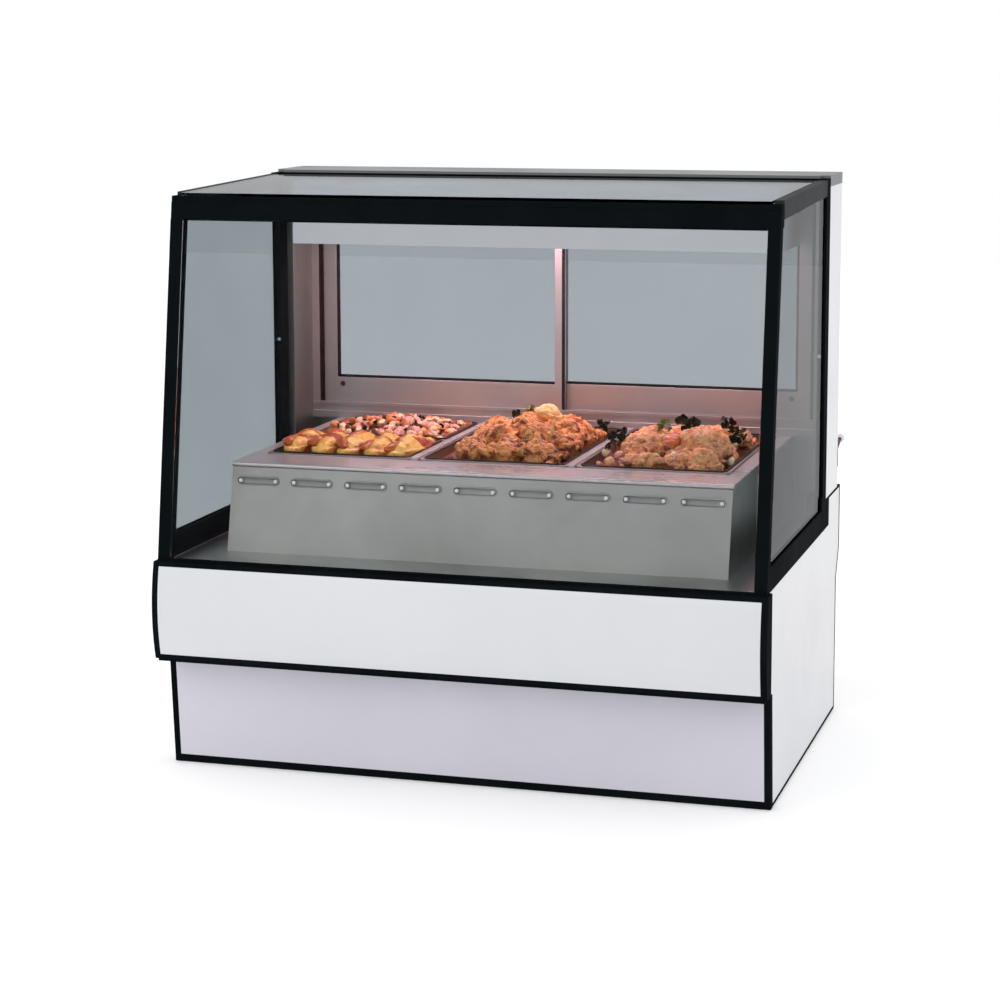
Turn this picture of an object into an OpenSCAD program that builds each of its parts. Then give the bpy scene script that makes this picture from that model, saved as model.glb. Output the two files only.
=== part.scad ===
// Heated display case for hot food: laminated base, slanted glass enclosure, three-well warmer, sliding rear doors
// X runs to the right, +Y to the rear, +Z up. The origin is the centre of the base's footprint on the floor.

/* [Overall] */
// Width over the side panels
case_w = 1273; // [1273:1:1320]
// Height to the top of the rear canopy
case_h = 1219; // [1219:1:1230]
// Depth from the belly of the front to the rear panel line
case_d = 897; // [890:1:900]

/* [Base] */
// Height of the top of the base, where the glass stands
belt_z = 446; // [440:1:446]
// Height of the kick front below the belly
kick_h = 235; // [225:1:236]
// Height of the rear ledge
ledge_z = 512; // [508:1:520]
// How far the rear ledge stands out behind the rear panel
ledge_out = 38.5; // [30:0.5:45]
// Thickness of the laminated side boards
board_t = 21; // [18:1:21]
// Radius of the bowed belly panel
belly_r = 382; // [380:1:420]
// Width of the black end cap on the belly, seen from the side
belly_cap_d = 44; // [40:1:46]

/* [Glass enclosure] */
// Backward lean of the front glass, in millimetres over its height
glass_lean = 100; // [80:1:105]
// Height of the header's lower edge
header_z = 1145; // [1140:1:1150]
// Height of the underside of the top glass at the front
roof_z = 1192; // [1190:1:1194]
// Width of a front stile
stile_w = 25.5; // [22:0.5:26]
// Depth of a front stile
stile_d = 25; // [22:1:28]
// Glass thickness
glass_t = 6; // [5:1:6]
// Front face of the rear posts
post_y = 240; // [236:1:244]
// Depth of the rear posts
post_d = 45; // [40:1:48]
// Width of the rear posts
post_w = 20.5; // [18:0.5:20.5]
// Height of the side glass channel
channel_h = 49; // [40:1:49]

/* [Warmer] */
// Height of the warmer top
well_z = 630; // [626:1:632]
// Half width of the warmer
well_hw = 535; // [530:1:540]
// Distance between pan centres
pan_pitch = 342; // [340:1:350]
// Length of a full pan over its flange
pan_l = 530; // [528:1:530]
// Width of a full pan over its flange
pan_w = 325; // [320:1:325]
// Depth of a pan
pan_depth = 65; // [40:1:100]
// Number of air slots in the warmer front
slot_count = 9; // [5:2:9]
// Distance between air slots
slot_pitch = 119; // [110:1:120]

/* [Hood] */
// Height of the hood's lower edge
hood_z = 1060; // [1040:1:1065]
// Half width of the hood
hood_hw = 550; // [540:1:555]
// Front face of the hood
hood_y = 150; // [140:1:160]

/* [Rear doors] */
// Thickness of a sliding door
door_t = 14; // [12:1:14]
// Height of the top of the doors' bottom rail
door_rail_z = 726; // [715:1:735]

/* [Controls] */
// Height of the thermostat knobs
knob_z = 430; // [425:1:435]
// Radius of a knob
knob_r = 20; // [16:1:22]

/* [Hidden] */
$fn = 48;

// Colours
white = "#e2e4e8";
black = "#14191c";
steel = "#8f9190";
dark_steel = "#5a5a58";
glass_tint = [0.65, 0.7, 0.72, 0.35];

// Overall
hx = case_w / 2;
rear_y = case_d / 2;
board_x1 = hx - 1;
board_x0 = board_x1 - board_t;

// Kick front: it leans out towards its top
kick_foot_y = -353;
kick_lean = 19.7 / 235;
kick_bottom_trim = 16;
kick_top_trim = 16;
kick_side_trim = 13;
kick_cap_d = 22;
kick_panel_t = 8;
function kick_y(z) = kick_foot_y - kick_lean * z;

// Belly: a round panel between black trims
belly_z0 = 241;
belly_axis_z = (belly_z0 + belt_z) / 2;
belly_axis_y = -case_d / 2 + 0.5 + belly_r;
belly_panel_t = 6;
belly_trim = 10;
belly_side_trim = 8;
belly_over = 5;
belly_back_y = -435 + belly_cap_d;
soffit_front_y = -430;
soffit_back_y = -356;

// Side boards
step_y = 330;
ledge_rear_y = rear_y + ledge_out;
ledge_low_z = 370;
ledge_turn_z = 303;
edge_bottom = 6;
edge_rear = 4;
edge_top = 5;

// Frame and sheet metal
angle_w = 40;
angle_t = 3;
frame_front_y = -330;
frame_rear_y = 440;
frame_belt_front_y = -385;
sheet_t = 2;
deck_z = belt_z - sheet_t;

// Slanted front: the front face at height z
slant_z0 = 451;
slant_y0 = -422;
slant = glass_lean / (header_z - slant_z0);
lean_deg = atan(slant);
function front_y(z) = slant_y0 + slant * (z - slant_z0);
lip_y = 8.6;
lip_w = 2.5;
stile_rear = stile_d / cos(lean_deg);
header_rear_y = -285;
header_lip_z = header_z - 4;
roof_rise = 13 / 568;
roof_front_y = -314;
roof_rear_y = 254;
function roof_under(y) = roof_z + roof_rise * (y - roof_front_y);

// Tilting front glass: its rail turns in a channel let into the belly's top
hinge_z = 445;
hinge_y = front_y(hinge_z) + 5 / cos(lean_deg);
hinge_r = 3;
hinge_fit = 0.05;
rail_r = 5;
rail_hw = 598.5;
rail_top = 5;
rail_wall_y = 4.5;
pin_l = 11.5;
channel_y = 7;
channel_z = 439.5;
channel_x = rail_hw + pin_l + 0.5;
glass_notch = 9;
glass_hw = 610;
glass_top_z = header_z - 1.5;
glass_span = (glass_top_z - hinge_z) / cos(lean_deg);

// Side glass
side_x0 = hx - post_w;
side_glass_x0 = 626;
post_screw_z = 832;
groove = 8;
groove_gap = 0.2;
rail_z_front = 1161;
rail_z_rear = 1176;
post_top_z = case_h - 6;
post_back_y = post_y + post_d;
block_front_y = post_y - 12;
block_x0 = 600;
block_top_z = 525;

// Warmer
well_foot_y = -294;
well_top_y = -254;
well_sheet_z = well_z - 3;
nose_r = 5;
nose_z = well_z - 2 * nose_r;
well_rear_y = rear_y - 2.5;
pan_centre_y = 126;
pan_front_y = pan_centre_y - pan_l / 2;
pan_rear_y = pan_centre_y + pan_l / 2;
pan_rim = 11;
pan_wall = 1.2;
pan_corner_r = 20;
flange_t = 3;
half_gap = 0.5;
tank_gap = 2;
tank_wall = 1.5;
tank_z = 455;
tank_hw = pan_w / 2 - pan_rim + tank_gap;
tank_front_y = pan_front_y + pan_rim - tank_gap;
tank_rear_y = pan_rear_y - pan_rim + tank_gap;
bar_w = pan_pitch - pan_w - 1;
bar_h = 6;
slot_w = 90;
slot_h = 15;
slot_z = well_z - 38;
slot_rim = 2.5;
drain_r = 10.65;
drain_hole_r = 9;
pan_centres = [-pan_pitch, 0, pan_pitch];

// Hood and heat lamps
hood_rear_y = 400;
heater_z = 1088;
heater_y = 275;
heater_half = 120;

// Rear doors
surround_front_y = 404;
surround_z0 = well_z;
surround_z1 = 1195;
surround_hw = 602;
opening_hw = 585;
stop_w = 15;
opening_z0 = 668;
sill_step_z = 646;
sill_step = 3;
sill_lip_z = 661;
sill_lip = 2;
opening_z1 = 1150;
track_depth = 20;
track_gap = 1;
door_left_y = 411;
door_right_y = door_left_y + door_t + 4;
stop_y = door_right_y + door_t + 1.5;
door_z0 = opening_z0 - track_depth + 0.5;
door_z1 = opening_z1 + track_depth - 1;
door_outer_x = 575;
door_inner_x = 11;
door_lap_x = -13;
door_stile = 32;
door_top_rail_z = 1130;
door_glass_t = 5;
door_glass_in = 6;
pull_x = 562;
pull_w = 20;
pull_h = 110;
pull_deep = 6;
pull_z = 900;

// Controls
panel_y = ledge_rear_y;
panel_t = 2;
panel_hw = 280;
panel_z0 = 382;
panel_z1 = 498;
knob_xs = [-200, -100, 0];
shaft_r = 3;
shaft_fit = 0.05;
lamp_z = 472;
lamp_r = 4;
rocker = [18, 16, 27];
rocker_window = [19, 30.4];
rocker_tilt = 8;
rocker_z = 440;
rocker_xs = [110, 180];

// Drain and cable gland
drain_x = 300;
drain_z = 150;
manifold_z = 385;
valve_y = 455;
gland_x = -450;
gland_z = 110;
gland_r = 9;
gland_bore_r = 6.5;

// Rear lever
lever_x = 624.25;
lever_y = 460;
lever_z = 578;
lever_r = 4;
lever_tip = [0, 100, 28];

// Box between two corners
module slab(a, b) {
    translate(a) cube(b - a);
}

// Outline in Y and Z, drawn out along X from x0 to x1
module along_x(x0, x1) {
    translate([x0, 0, 0]) rotate([90, 0, 90]) linear_extrude(x1 - x0) children();
}

// The children on the right, and their mirror image on the left
module both_sides() {
    children();
    mirror([1, 0, 0]) children();
}

// Rectangle with round corners
module round_rect(x0, y0, x1, y1, r) {
    translate([x0 + r, y0]) square([x1 - x0 - 2 * r, y1 - y0]);
    translate([x0, y0 + r]) square([x1 - x0, y1 - y0 - 2 * r]);
    for (x = [x0 + r, x1 - r], y = [y0 + r, y1 - r]) {
        translate([x, y]) circle(r);
    }
}

// Slot with round ends, centred on the origin
module oblong(w, h) {
    square([w - h, h], center = true);
    for (x = [-1, 1]) {
        translate([x * (w - h) / 2, 0]) circle(h / 2);
    }
}

// Angle-section ring: an upright wall with a flange at its foot or its top
module angle_ring(y0, y1, z0, flange_z) {
    difference() {
        slab([-board_x0, y0, z0], [board_x0, y1, z0 + angle_w]);
        slab([-board_x0 + angle_t, y0 + angle_t, z0 - 1], [board_x0 - angle_t, y1 - angle_t, z0 + angle_w + 1]);
    }
    difference() {
        slab([-board_x0, y0, flange_z], [board_x0, y1, flange_z + angle_t]);
        slab([-board_x0 + angle_w, y0 + angle_w, flange_z - 1], [board_x0 - angle_w, y1 - angle_w, flange_z + 9]);
    }
}

// ---- Base ----

module base_frame() {
    color("#6c6f72") {
        angle_ring(frame_front_y, frame_rear_y, 0, 0);
        angle_ring(frame_belt_front_y, frame_rear_y, deck_z - angle_w, deck_z - angle_t);
        both_sides() {
            slab([board_x0 - angle_t, frame_front_y, 0], [board_x0, frame_front_y + angle_w, deck_z]);
            slab([board_x0 - angle_w, frame_front_y, 0], [board_x0, frame_front_y + angle_t, deck_z]);
            slab([board_x0 - angle_t, frame_rear_y - angle_w, 0], [board_x0, frame_rear_y, deck_z]);
            slab([board_x0 - angle_w, frame_rear_y - angle_t, 0], [board_x0, frame_rear_y, deck_z]);
        }
        slab([-board_x0 + angle_t, -angle_w, 0], [board_x0 - angle_t, angle_w, angle_t]);
    }
}

module bottom_pan() {
    pan_x = board_x0 - angle_t - 0.5;
    color(steel) slab([-pan_x, frame_front_y + angle_t + 0.5, angle_t],
        [pan_x, frame_rear_y - angle_t - 0.5, angle_t + 1.5]);
}

module side_outline() {
    polygon([
        [kick_y(0) + kick_cap_d, 0], [kick_y(kick_h) + kick_cap_d, kick_h],
        [belly_back_y, kick_h], [belly_back_y, belt_z],
        [step_y, belt_z], [step_y, ledge_z], [ledge_rear_y, ledge_z], [ledge_rear_y, ledge_low_z],
        [rear_y, ledge_turn_z], [rear_y, 0]
    ]);
}

module board_outline() {
    polygon([
        [kick_y(edge_bottom) + kick_cap_d, edge_bottom], [kick_y(kick_h) + kick_cap_d, kick_h],
        [belly_back_y, kick_h], [belly_back_y, belt_z],
        [step_y, belt_z], [step_y, ledge_z - edge_top],
        [ledge_rear_y - edge_rear, ledge_z - edge_top], [ledge_rear_y - edge_rear, ledge_low_z + 1],
        [rear_y - edge_rear, ledge_turn_z + 1], [rear_y - edge_rear, edge_bottom]
    ]);
}

module side_panel(right) {
    color(white) mirror([right ? 0 : 1, 0, 0]) along_x(board_x0, board_x1) board_outline();
}

module side_trims() {
    color(black) both_sides() along_x(board_x0, hx) difference() {
        side_outline();
        board_outline();
    }
}

// A slice of the kick front between two heights, of thickness t
module kick_slice(z0, z1, t) {
    polygon([[kick_y(z0), z0], [kick_y(z1), z1], [kick_y(z1) + t, z1], [kick_y(z0) + t, z0]]);
}

module lower_front_panel() {
    panel_x = hx - kick_side_trim;
    color(white) along_x(-panel_x, panel_x)
        kick_slice(kick_bottom_trim, kick_h - kick_top_trim, kick_panel_t);
}

module lower_front_trim() {
    panel_x = hx - kick_side_trim;
    color(black) {
        along_x(-panel_x, panel_x) kick_slice(0, kick_bottom_trim, kick_panel_t + 4);
        along_x(-panel_x, panel_x) kick_slice(kick_h - kick_top_trim, kick_h, kick_panel_t + 4);
        both_sides() along_x(panel_x, hx) kick_slice(0, kick_h, kick_cap_d);
    }
}

// The belly's outline from its front curve back to depth y1
module belly_slice(z0, z1, y1) {
    intersection() {
        translate([belly_axis_y, belly_axis_z]) circle(belly_r, $fn = 96);
        translate([-case_d, z0]) square([case_d + y1, z1 - z0]);
    }
}

module upper_front_panel() {
    panel_x = hx - belly_side_trim;
    color(white) along_x(-panel_x, panel_x) difference() {
        belly_slice(belly_z0 + belly_trim, belt_z - belly_trim, belly_back_y);
        translate([belly_axis_y, belly_axis_z]) circle(belly_r - belly_panel_t, $fn = 96);
    }
}

module upper_front_trim() {
    panel_x = hx - belly_side_trim;
    color(black) {
        both_sides() along_x(panel_x, hx + belly_over) belly_slice(belly_z0, belt_z, belly_back_y);
        along_x(-panel_x, panel_x) belly_slice(belly_z0, belly_z0 + belly_trim, belly_back_y);
        difference() {
            along_x(-panel_x, panel_x) belly_slice(belt_z - belly_trim, belt_z, belly_back_y);
            slab([-channel_x, hinge_y - channel_y, channel_z], [channel_x, hinge_y + channel_y, belt_z + 1]);
        }
        slab([-hx, soffit_front_y, kick_h], [hx, belly_back_y, belly_z0]);
        slab([-board_x0, belly_back_y, kick_h], [board_x0, soffit_back_y, belly_z0]);
    }
}

module louvres() {
    for (x = [-420 : 84 : 420], z = [200, 225, 250]) {
        translate([x, frame_rear_y + 4, z]) rotate([90, 0, 0]) linear_extrude(6) oblong(60, 7);
    }
}

module rear_access_panel() {
    color(steel) difference() {
        slab([-612, frame_rear_y, edge_bottom], [612, frame_rear_y + sheet_t, ledge_turn_z]);
        louvres();
        translate([drain_x, frame_rear_y + 4, drain_z]) rotate([90, 0, 0]) cylinder(h = 8, r = drain_r + 1.5);
        translate([gland_x, frame_rear_y + 4, gland_z]) rotate([90, 0, 0]) cylinder(h = 8, r = gland_r + 0.3);
    }
}

module control_housing() {
    rear = ledge_rear_y;
    color(steel) difference() {
        along_x(-board_x0, board_x0) polygon([
            [frame_rear_y + sheet_t, ledge_turn_z], [rear, ledge_low_z], [rear, ledge_z],
            [well_rear_y + sheet_t, ledge_z], [well_rear_y + sheet_t, ledge_z - sheet_t],
            [rear - sheet_t, ledge_z - sheet_t], [rear - sheet_t, ledge_low_z + 1],
            [frame_rear_y + sheet_t, ledge_turn_z + 4]
        ]);
        slab([-panel_hw + 15, rear - 5, panel_z0 + 10], [panel_hw - 15, rear + 5, panel_z1 - 10]);
    }
}

module control_panel() {
    color(dark_steel) difference() {
        union() {
            slab([-panel_hw, panel_y, panel_z0], [panel_hw, panel_y + panel_t, panel_z1]);
            for (x = rocker_xs) {
                slab([x - 13, panel_y, rocker_z - 19], [x + 13, panel_y + panel_t + 2, rocker_z + 19]);
            }
        }
        for (x = knob_xs) {
            translate([x, panel_y + 5, knob_z]) rotate([90, 0, 0]) cylinder(h = 10, r = shaft_r + shaft_fit);
            translate([x, panel_y + 5, lamp_z]) rotate([90, 0, 0]) cylinder(h = 10, r = lamp_r);
        }
        for (x = rocker_xs) {
            slab([x - rocker_window[0] / 2, panel_y - 5, rocker_z - rocker_window[1] / 2],
                [x + rocker_window[0] / 2, panel_y + 9, rocker_z + rocker_window[1] / 2]);
        }
    }
}

module knob(x) {
    color(black) translate([x, panel_y, knob_z]) rotate([-90, 0, 0]) {
        translate([0, 0, -12]) cylinder(h = 15, r = shaft_r);
        translate([0, 0, panel_t + 1]) cylinder(h = 9, r = knob_r);
        translate([0, 0, panel_t + 1]) cylinder(h = 20, r = knob_r - 6);
        translate([-3, -knob_r + 2, panel_t + 1]) cube([6, 2 * knob_r - 4, 22]);
    }
}

module switch_rocker(x) {
    color(black) translate([x, panel_y - 1, rocker_z]) rotate([-rocker_tilt, 0, 0]) {
        cube(rocker, center = true);
        rotate([0, 90, 0]) cylinder(h = rocker[0], r = rocker[1] / 2 + 0.5, center = true);
    }
}

module indicator_lamps() {
    color("#d03020") for (x = knob_xs) {
        translate([x, panel_y, lamp_z]) rotate([-90, 0, 0]) {
            translate([0, 0, -8]) cylinder(h = 12, r = lamp_r - 0.1);
            translate([0, 0, panel_t]) cylinder(h = 2, r = lamp_r + 2);
            translate([0, 0, panel_t + 2]) cylinder(h = 3, r1 = lamp_r, r2 = lamp_r - 2);
        }
    }
}

module power_gland() {
    color(black) translate([gland_x, frame_rear_y, gland_z]) rotate([-90, 0, 0]) difference() {
        union() {
            translate([0, 0, -15]) cylinder(h = 30, r = gland_r);
            translate([0, 0, -7]) cylinder(h = 7, r = 14, $fn = 6);
            translate([0, 0, sheet_t]) cylinder(h = 5, r = 15);
            translate([0, 0, sheet_t]) cylinder(h = 22, r = 12);
        }
        translate([0, 0, -16]) cylinder(h = 42, r = gland_bore_r);
    }
}

module drain_pipe() {
    color("#b08a50") difference() {
        union() {
            for (x = pan_centres) {
                translate([x, pan_centre_y, manifold_z]) cylinder(h = tank_z - manifold_z, r = drain_r);
            }
            translate([-pan_pitch - drain_r, pan_centre_y, manifold_z]) rotate([0, 90, 0])
                cylinder(h = 2 * (pan_pitch + drain_r), r = drain_r);
            translate([drain_x, pan_centre_y, drain_z - drain_r])
                cylinder(h = manifold_z - drain_z + drain_r, r = drain_r);
            translate([drain_x, pan_centre_y, drain_z]) rotate([-90, 0, 0])
                cylinder(h = valve_y + 55 - pan_centre_y, r = drain_r);
            slab([drain_x - 18, valve_y - 8, drain_z - 18], [drain_x + 18, valve_y + 24, drain_z + 18]);
            translate([drain_x, valve_y + 8, drain_z]) cylinder(h = 26, r = 5);
        }
        translate([drain_x, valve_y + 20, drain_z]) rotate([-90, 0, 0]) cylinder(h = 60, r = drain_r - 2);
    }
}

module drain_handle() {
    color("#b02020") translate([drain_x, valve_y + 8, drain_z + 20]) difference() {
        union() {
            cylinder(h = 4, r = 11);
            translate([0, -7, 0]) cube([80, 14, 4]);
            translate([80, 0, 0]) cylinder(h = 4, r = 7);
        }
        translate([0, 0, -1]) cylinder(h = 6, r = 5 + hinge_fit);
    }
}

// ---- Warmer ----

module deck() {
    color(steel) difference() {
        slab([-board_x0, belly_back_y, deck_z], [board_x0, frame_rear_y, belt_z]);
        for (x = pan_centres) {
            translate([x, pan_centre_y, deck_z - 1]) cylinder(h = 4, r = drain_r + 1);
        }
    }
}

module well_front_outline() {
    polygon([[well_foot_y, belt_z], [well_top_y, nose_z],
        [well_top_y + sheet_t, nose_z], [well_foot_y + sheet_t, belt_z]]);
}

module slot_row(w, h, y0, y1) {
    for (i = [0 : slot_count - 1]) {
        translate([(i - (slot_count - 1) / 2) * slot_pitch, y1, slot_z])
            rotate([90, 0, 0]) linear_extrude(y1 - y0) oblong(w, h);
    }
}

module well_housing() {
    slot_y = well_foot_y + (well_top_y - well_foot_y) * (slot_z - belt_z) / (nose_z - belt_z);
    color(steel) {
        difference() {
            union() {
                along_x(-well_hw, well_hw) well_front_outline();
                slot_row(slot_w + 2 * slot_rim, slot_h + 2 * slot_rim, slot_y - 2.5, slot_y + 1.5);
            }
            slot_row(slot_w, slot_h, slot_y - 9, slot_y + 9);
        }
        both_sides() along_x(well_hw - sheet_t, well_hw) polygon([
            [well_foot_y, belt_z], [well_top_y, nose_z], [well_top_y + 2 * nose_r, nose_z],
            [well_top_y + 2 * nose_r, well_sheet_z], [well_rear_y, well_sheet_z], [well_rear_y, belt_z]
        ]);
        slab([-surround_hw, well_rear_y, belt_z - 6], [surround_hw, well_rear_y + sheet_t, well_z]);
    }
}

// The top sheet ends in a rolled nose along the front
module well_top() {
    top_x = well_hw + 2;
    nose_y = well_top_y - 2 + nose_r;
    color(steel) translate([-top_x, nose_y, well_z - nose_r]) rotate([0, 90, 0])
        cylinder(h = 2 * top_x, r = nose_r);
    color(steel) difference() {
        slab([-top_x, nose_y, well_sheet_z], [top_x, well_rear_y, well_z]);
        for (x = pan_centres) {
            translate([0, 0, well_sheet_z - 1]) linear_extrude(5) round_rect(
                x - tank_hw + 1, tank_front_y + 1, x + tank_hw - 1, tank_rear_y - 1, pan_corner_r);
        }
    }
}

module tank_block(x, gap, z0, z1) {
    slab([x - tank_hw + gap, tank_front_y + gap, z0], [x + tank_hw - gap, tank_rear_y - gap, z1]);
}

module well_tanks() {
    color(steel) for (x = pan_centres) difference() {
        tank_block(x, -tank_wall, tank_z, well_sheet_z);
        tank_block(x, 0, tank_z + tank_wall, well_sheet_z + 1);
        translate([x, pan_centre_y, tank_z - 1]) cylinder(h = 4, r = drain_hole_r);
    }
}

// A hairpin heater lying in each tank, its bend at the front
module heating_elements() {
    tube_r = 4;
    bend_r = 70;
    color("#4a4036") for (x = pan_centres) {
        translate([x, tank_front_y + 90, tank_z + tank_wall + tube_r]) {
            rotate([0, 0, 180]) rotate_extrude(angle = 180) translate([bend_r, 0]) circle(tube_r);
            for (s = [-1, 1]) {
                translate([s * bend_r, 0, 0]) rotate([-90, 0, 0]) cylinder(h = 330, r = tube_r);
            }
        }
    }
}

module well_insulation() {
    color("#c9b98a") difference() {
        slab([-well_hw + 6, well_top_y + 8, belt_z], [well_hw - 6, well_rear_y - 4, 600]);
        for (x = pan_centres) {
            tank_block(x, -tank_wall, tank_z, 601);
            translate([x, pan_centre_y, belt_z - 1]) cylinder(h = 12, r = drain_r + 1);
        }
    }
}

module divider_bars() {
    color(steel) for (s = [-1, 1]) {
        slab([s * pan_pitch / 2 - bar_w / 2, pan_front_y, well_z],
            [s * pan_pitch / 2 + bar_w / 2, pan_rear_y, well_z + bar_h]);
    }
}

// Pan with a flat flange, from y0 to y1 over the flange
module food_pan(x, y0, y1) {
    inner_r = pan_corner_r - 4;
    x0 = x - pan_w / 2 + pan_rim;
    x1 = x + pan_w / 2 - pan_rim;
    color("#7c7d7c") difference() {
        union() {
            translate([0, 0, well_z]) linear_extrude(flange_t)
                round_rect(x - pan_w / 2, y0, x + pan_w / 2, y1, 10);
            translate([0, 0, well_z - pan_depth]) linear_extrude(pan_depth)
                round_rect(x0, y0 + pan_rim, x1, y1 - pan_rim, pan_corner_r);
        }
        translate([0, 0, well_z - pan_depth + pan_wall]) linear_extrude(pan_depth + 5)
            round_rect(x0 + pan_wall, y0 + pan_rim + pan_wall, x1 - pan_wall, y1 - pan_rim - pan_wall, inner_r);
    }
}

// ---- Front glass and its frame ----

module front_header() {
    top = roof_z - 0.1;
    step_z = 1180;
    wall = 4;
    color(black) {
        difference() {
            along_x(-hx, hx) polygon([
                [front_y(header_z), header_z], [front_y(step_z), step_z], [front_y(step_z) + 1.2, step_z],
                [front_y(roof_z) + 1.2, top], [header_rear_y, top], [header_rear_y, header_z]
            ]);
            along_x(-hx + wall, hx - wall) polygon([
                [front_y(header_z) + wall + 2, header_z + wall], [front_y(roof_z) + wall + 1, top - wall],
                [header_rear_y + 1, top - wall], [header_rear_y + 1, header_z + wall]
            ]);
        }
        along_x(-glass_hw + lip_w, glass_hw - lip_w) polygon([
            [front_y(header_lip_z) + lip_y, header_lip_z], [front_y(header_z) + lip_y, header_z],
            [header_rear_y, header_z], [header_rear_y, header_lip_z]
        ]);
    }
}

// A band that follows the slanted front, from y0 to y1 behind its face
module slanted_band(z0, z1, y0, y1) {
    polygon([[front_y(z0) + y0, z0], [front_y(z1) + y0, z1], [front_y(z1) + y1, z1], [front_y(z0) + y1, z0]]);
}

module front_stiles() {
    stile_x = hx - stile_w;
    color(black) both_sides() {
        along_x(stile_x, hx) slanted_band(belt_z, header_z, 0, stile_rear);
        along_x(stile_x - lip_w, stile_x) slanted_band(hinge_z + 15, header_z, lip_y, stile_rear);
    }
}

// The tilting glass's own frame: z along the glass from the hinge, y through it
module on_glass() {
    translate([0, hinge_y, hinge_z]) rotate([-lean_deg, 0, 0]) children();
}

module front_glass() {
    color(glass_tint) on_glass() {
        slab([-glass_hw, -glass_t / 2, glass_notch], [glass_hw, glass_t / 2, glass_span]);
        slab([-rail_hw + 1, -glass_t / 2, 0.3], [rail_hw - 1, glass_t / 2, glass_notch]);
    }
}

module front_glass_rail() {
    color(black) on_glass() {
        difference() {
            union() {
                translate([-rail_hw, 0, 0]) rotate([0, 90, 0]) cylinder(h = 2 * rail_hw, r = rail_r);
                slab([-rail_hw, -rail_wall_y, 0], [rail_hw, rail_wall_y, rail_top]);
            }
            slab([-rail_hw - 1, -glass_t / 2 - 0.1, 0], [rail_hw + 1, glass_t / 2 + 0.1, rail_top + 1]);
        }
        both_sides() translate([rail_hw - 0.6, 0, 0]) rotate([0, 90, 0]) cylinder(h = pin_l, r = hinge_r);
    }
}

module hinge_blocks() {
    x0 = rail_hw + 0.5;
    block_r = hinge_z - channel_z;
    color("#2a2e31") both_sides() difference() {
        union() {
            translate([x0, hinge_y, hinge_z]) rotate([0, 90, 0]) cylinder(h = pin_l, r = block_r);
            slab([x0, hinge_y - channel_y, channel_z], [x0 + pin_l, hinge_y + channel_y, hinge_z]);
        }
        translate([rail_hw - 1, hinge_y, hinge_z]) rotate([0, 90, 0]) cylinder(h = 20, r = hinge_r + hinge_fit);
    }
}

// ---- Sides and roof ----

module side_glass_outline() {
    z0 = belt_z + channel_h - groove;
    rear = post_y - 0.3;
    front = header_rear_y + 0.3;
    top = groove - 2;
    polygon([
        [front_y(z0) + stile_rear + 0.3, z0], [rear, z0], [rear, rail_z_rear + top],
        [front, rail_z_front + top], [front, header_z], [front_y(header_z) + stile_rear + 0.3, header_z]
    ]);
}

module side_glass(right) {
    color(glass_tint) mirror([right ? 0 : 1, 0, 0])
        along_x(side_glass_x0, side_glass_x0 + glass_t) side_glass_outline();
}

module side_channels() {
    top = belt_z + channel_h;
    color(black) both_sides() difference() {
        along_x(side_x0, hx) polygon([
            [front_y(belt_z) + stile_rear, belt_z], [front_y(top) + stile_rear, top],
            [block_front_y, top], [block_front_y, belt_z]
        ]);
        slab([side_glass_x0 - groove_gap, -case_d, top - groove - groove_gap],
            [side_glass_x0 + glass_t + groove_gap, post_y, top + 1]);
    }
}

module side_top_rails() {
    color("#3c4144") both_sides() difference() {
        along_x(side_x0, hx) polygon([
            [header_rear_y, rail_z_front], [header_rear_y, roof_under(header_rear_y) + glass_t],
            [post_y, roof_under(post_y) + glass_t], [post_y, rail_z_rear]
        ]);
        along_x(side_glass_x0 - groove_gap, side_glass_x0 + glass_t + groove_gap) polygon([
            [header_rear_y - 1, rail_z_front - 3], [header_rear_y - 1, rail_z_front + groove],
            [post_y + 1, rail_z_rear + groove], [post_y + 1, rail_z_rear - 3]
        ]);
    }
}

module top_panel() {
    color([0.7, 0.74, 0.77, 0.6]) along_x(-side_x0, side_x0) polygon([
        [roof_front_y, roof_under(roof_front_y)], [roof_rear_y, roof_under(roof_rear_y)],
        [roof_rear_y, roof_under(roof_rear_y) + glass_t], [roof_front_y, roof_under(roof_front_y) + glass_t]
    ]);
}

// Two posts joined by the bar under the roof's seam
module rear_posts() {
    color(black) {
        both_sides() slab([side_x0, post_y, belt_z], [hx, post_back_y, post_top_z]);
        slab([-side_x0, roof_rear_y, surround_z1], [side_x0, roof_rear_y + 12, post_top_z]);
    }
}

module corner_blocks() {
    color("#1c2226") both_sides() difference() {
        along_x(block_x0, hx) polygon([
            [block_front_y, belt_z], [step_y, belt_z], [step_y, ledge_z], [post_back_y, ledge_z],
            [post_back_y, block_top_z], [block_front_y, block_top_z]
        ]);
        slab([side_x0, post_y, belt_z - 1], [hx + 1, post_back_y, block_top_z + 1]);
        slab([side_glass_x0 - groove_gap, block_front_y - 1, belt_z + channel_h - groove - groove_gap],
            [side_glass_x0 + glass_t + groove_gap, post_y, block_top_z + 1]);
    }
}

module end_panels() {
    color(white) both_sides()
        slab([side_x0 + 0.5, post_back_y, ledge_z], [board_x1, rear_y, surround_z1]);
}

module end_liners() {
    color(steel) both_sides()
        slab([surround_hw, post_back_y, ledge_z], [side_x0 + 0.5, rear_y, surround_z1]);
}

module rear_canopy() {
    front = roof_rear_y + 12;
    color("#9da3a6") difference() {
        union() {
            slab([-side_x0 + 0.5, front, surround_z1], [side_x0 - 0.5, rear_y, case_h]);
            slab([-hx, post_back_y, surround_z1], [hx, rear_y, case_h]);
        }
        slab([-side_x0 + 3, front + sheet_t, surround_z1 - 1], [side_x0 - 3, rear_y - sheet_t, case_h - sheet_t]);
    }
}

// ---- Lamp hood ----

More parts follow.
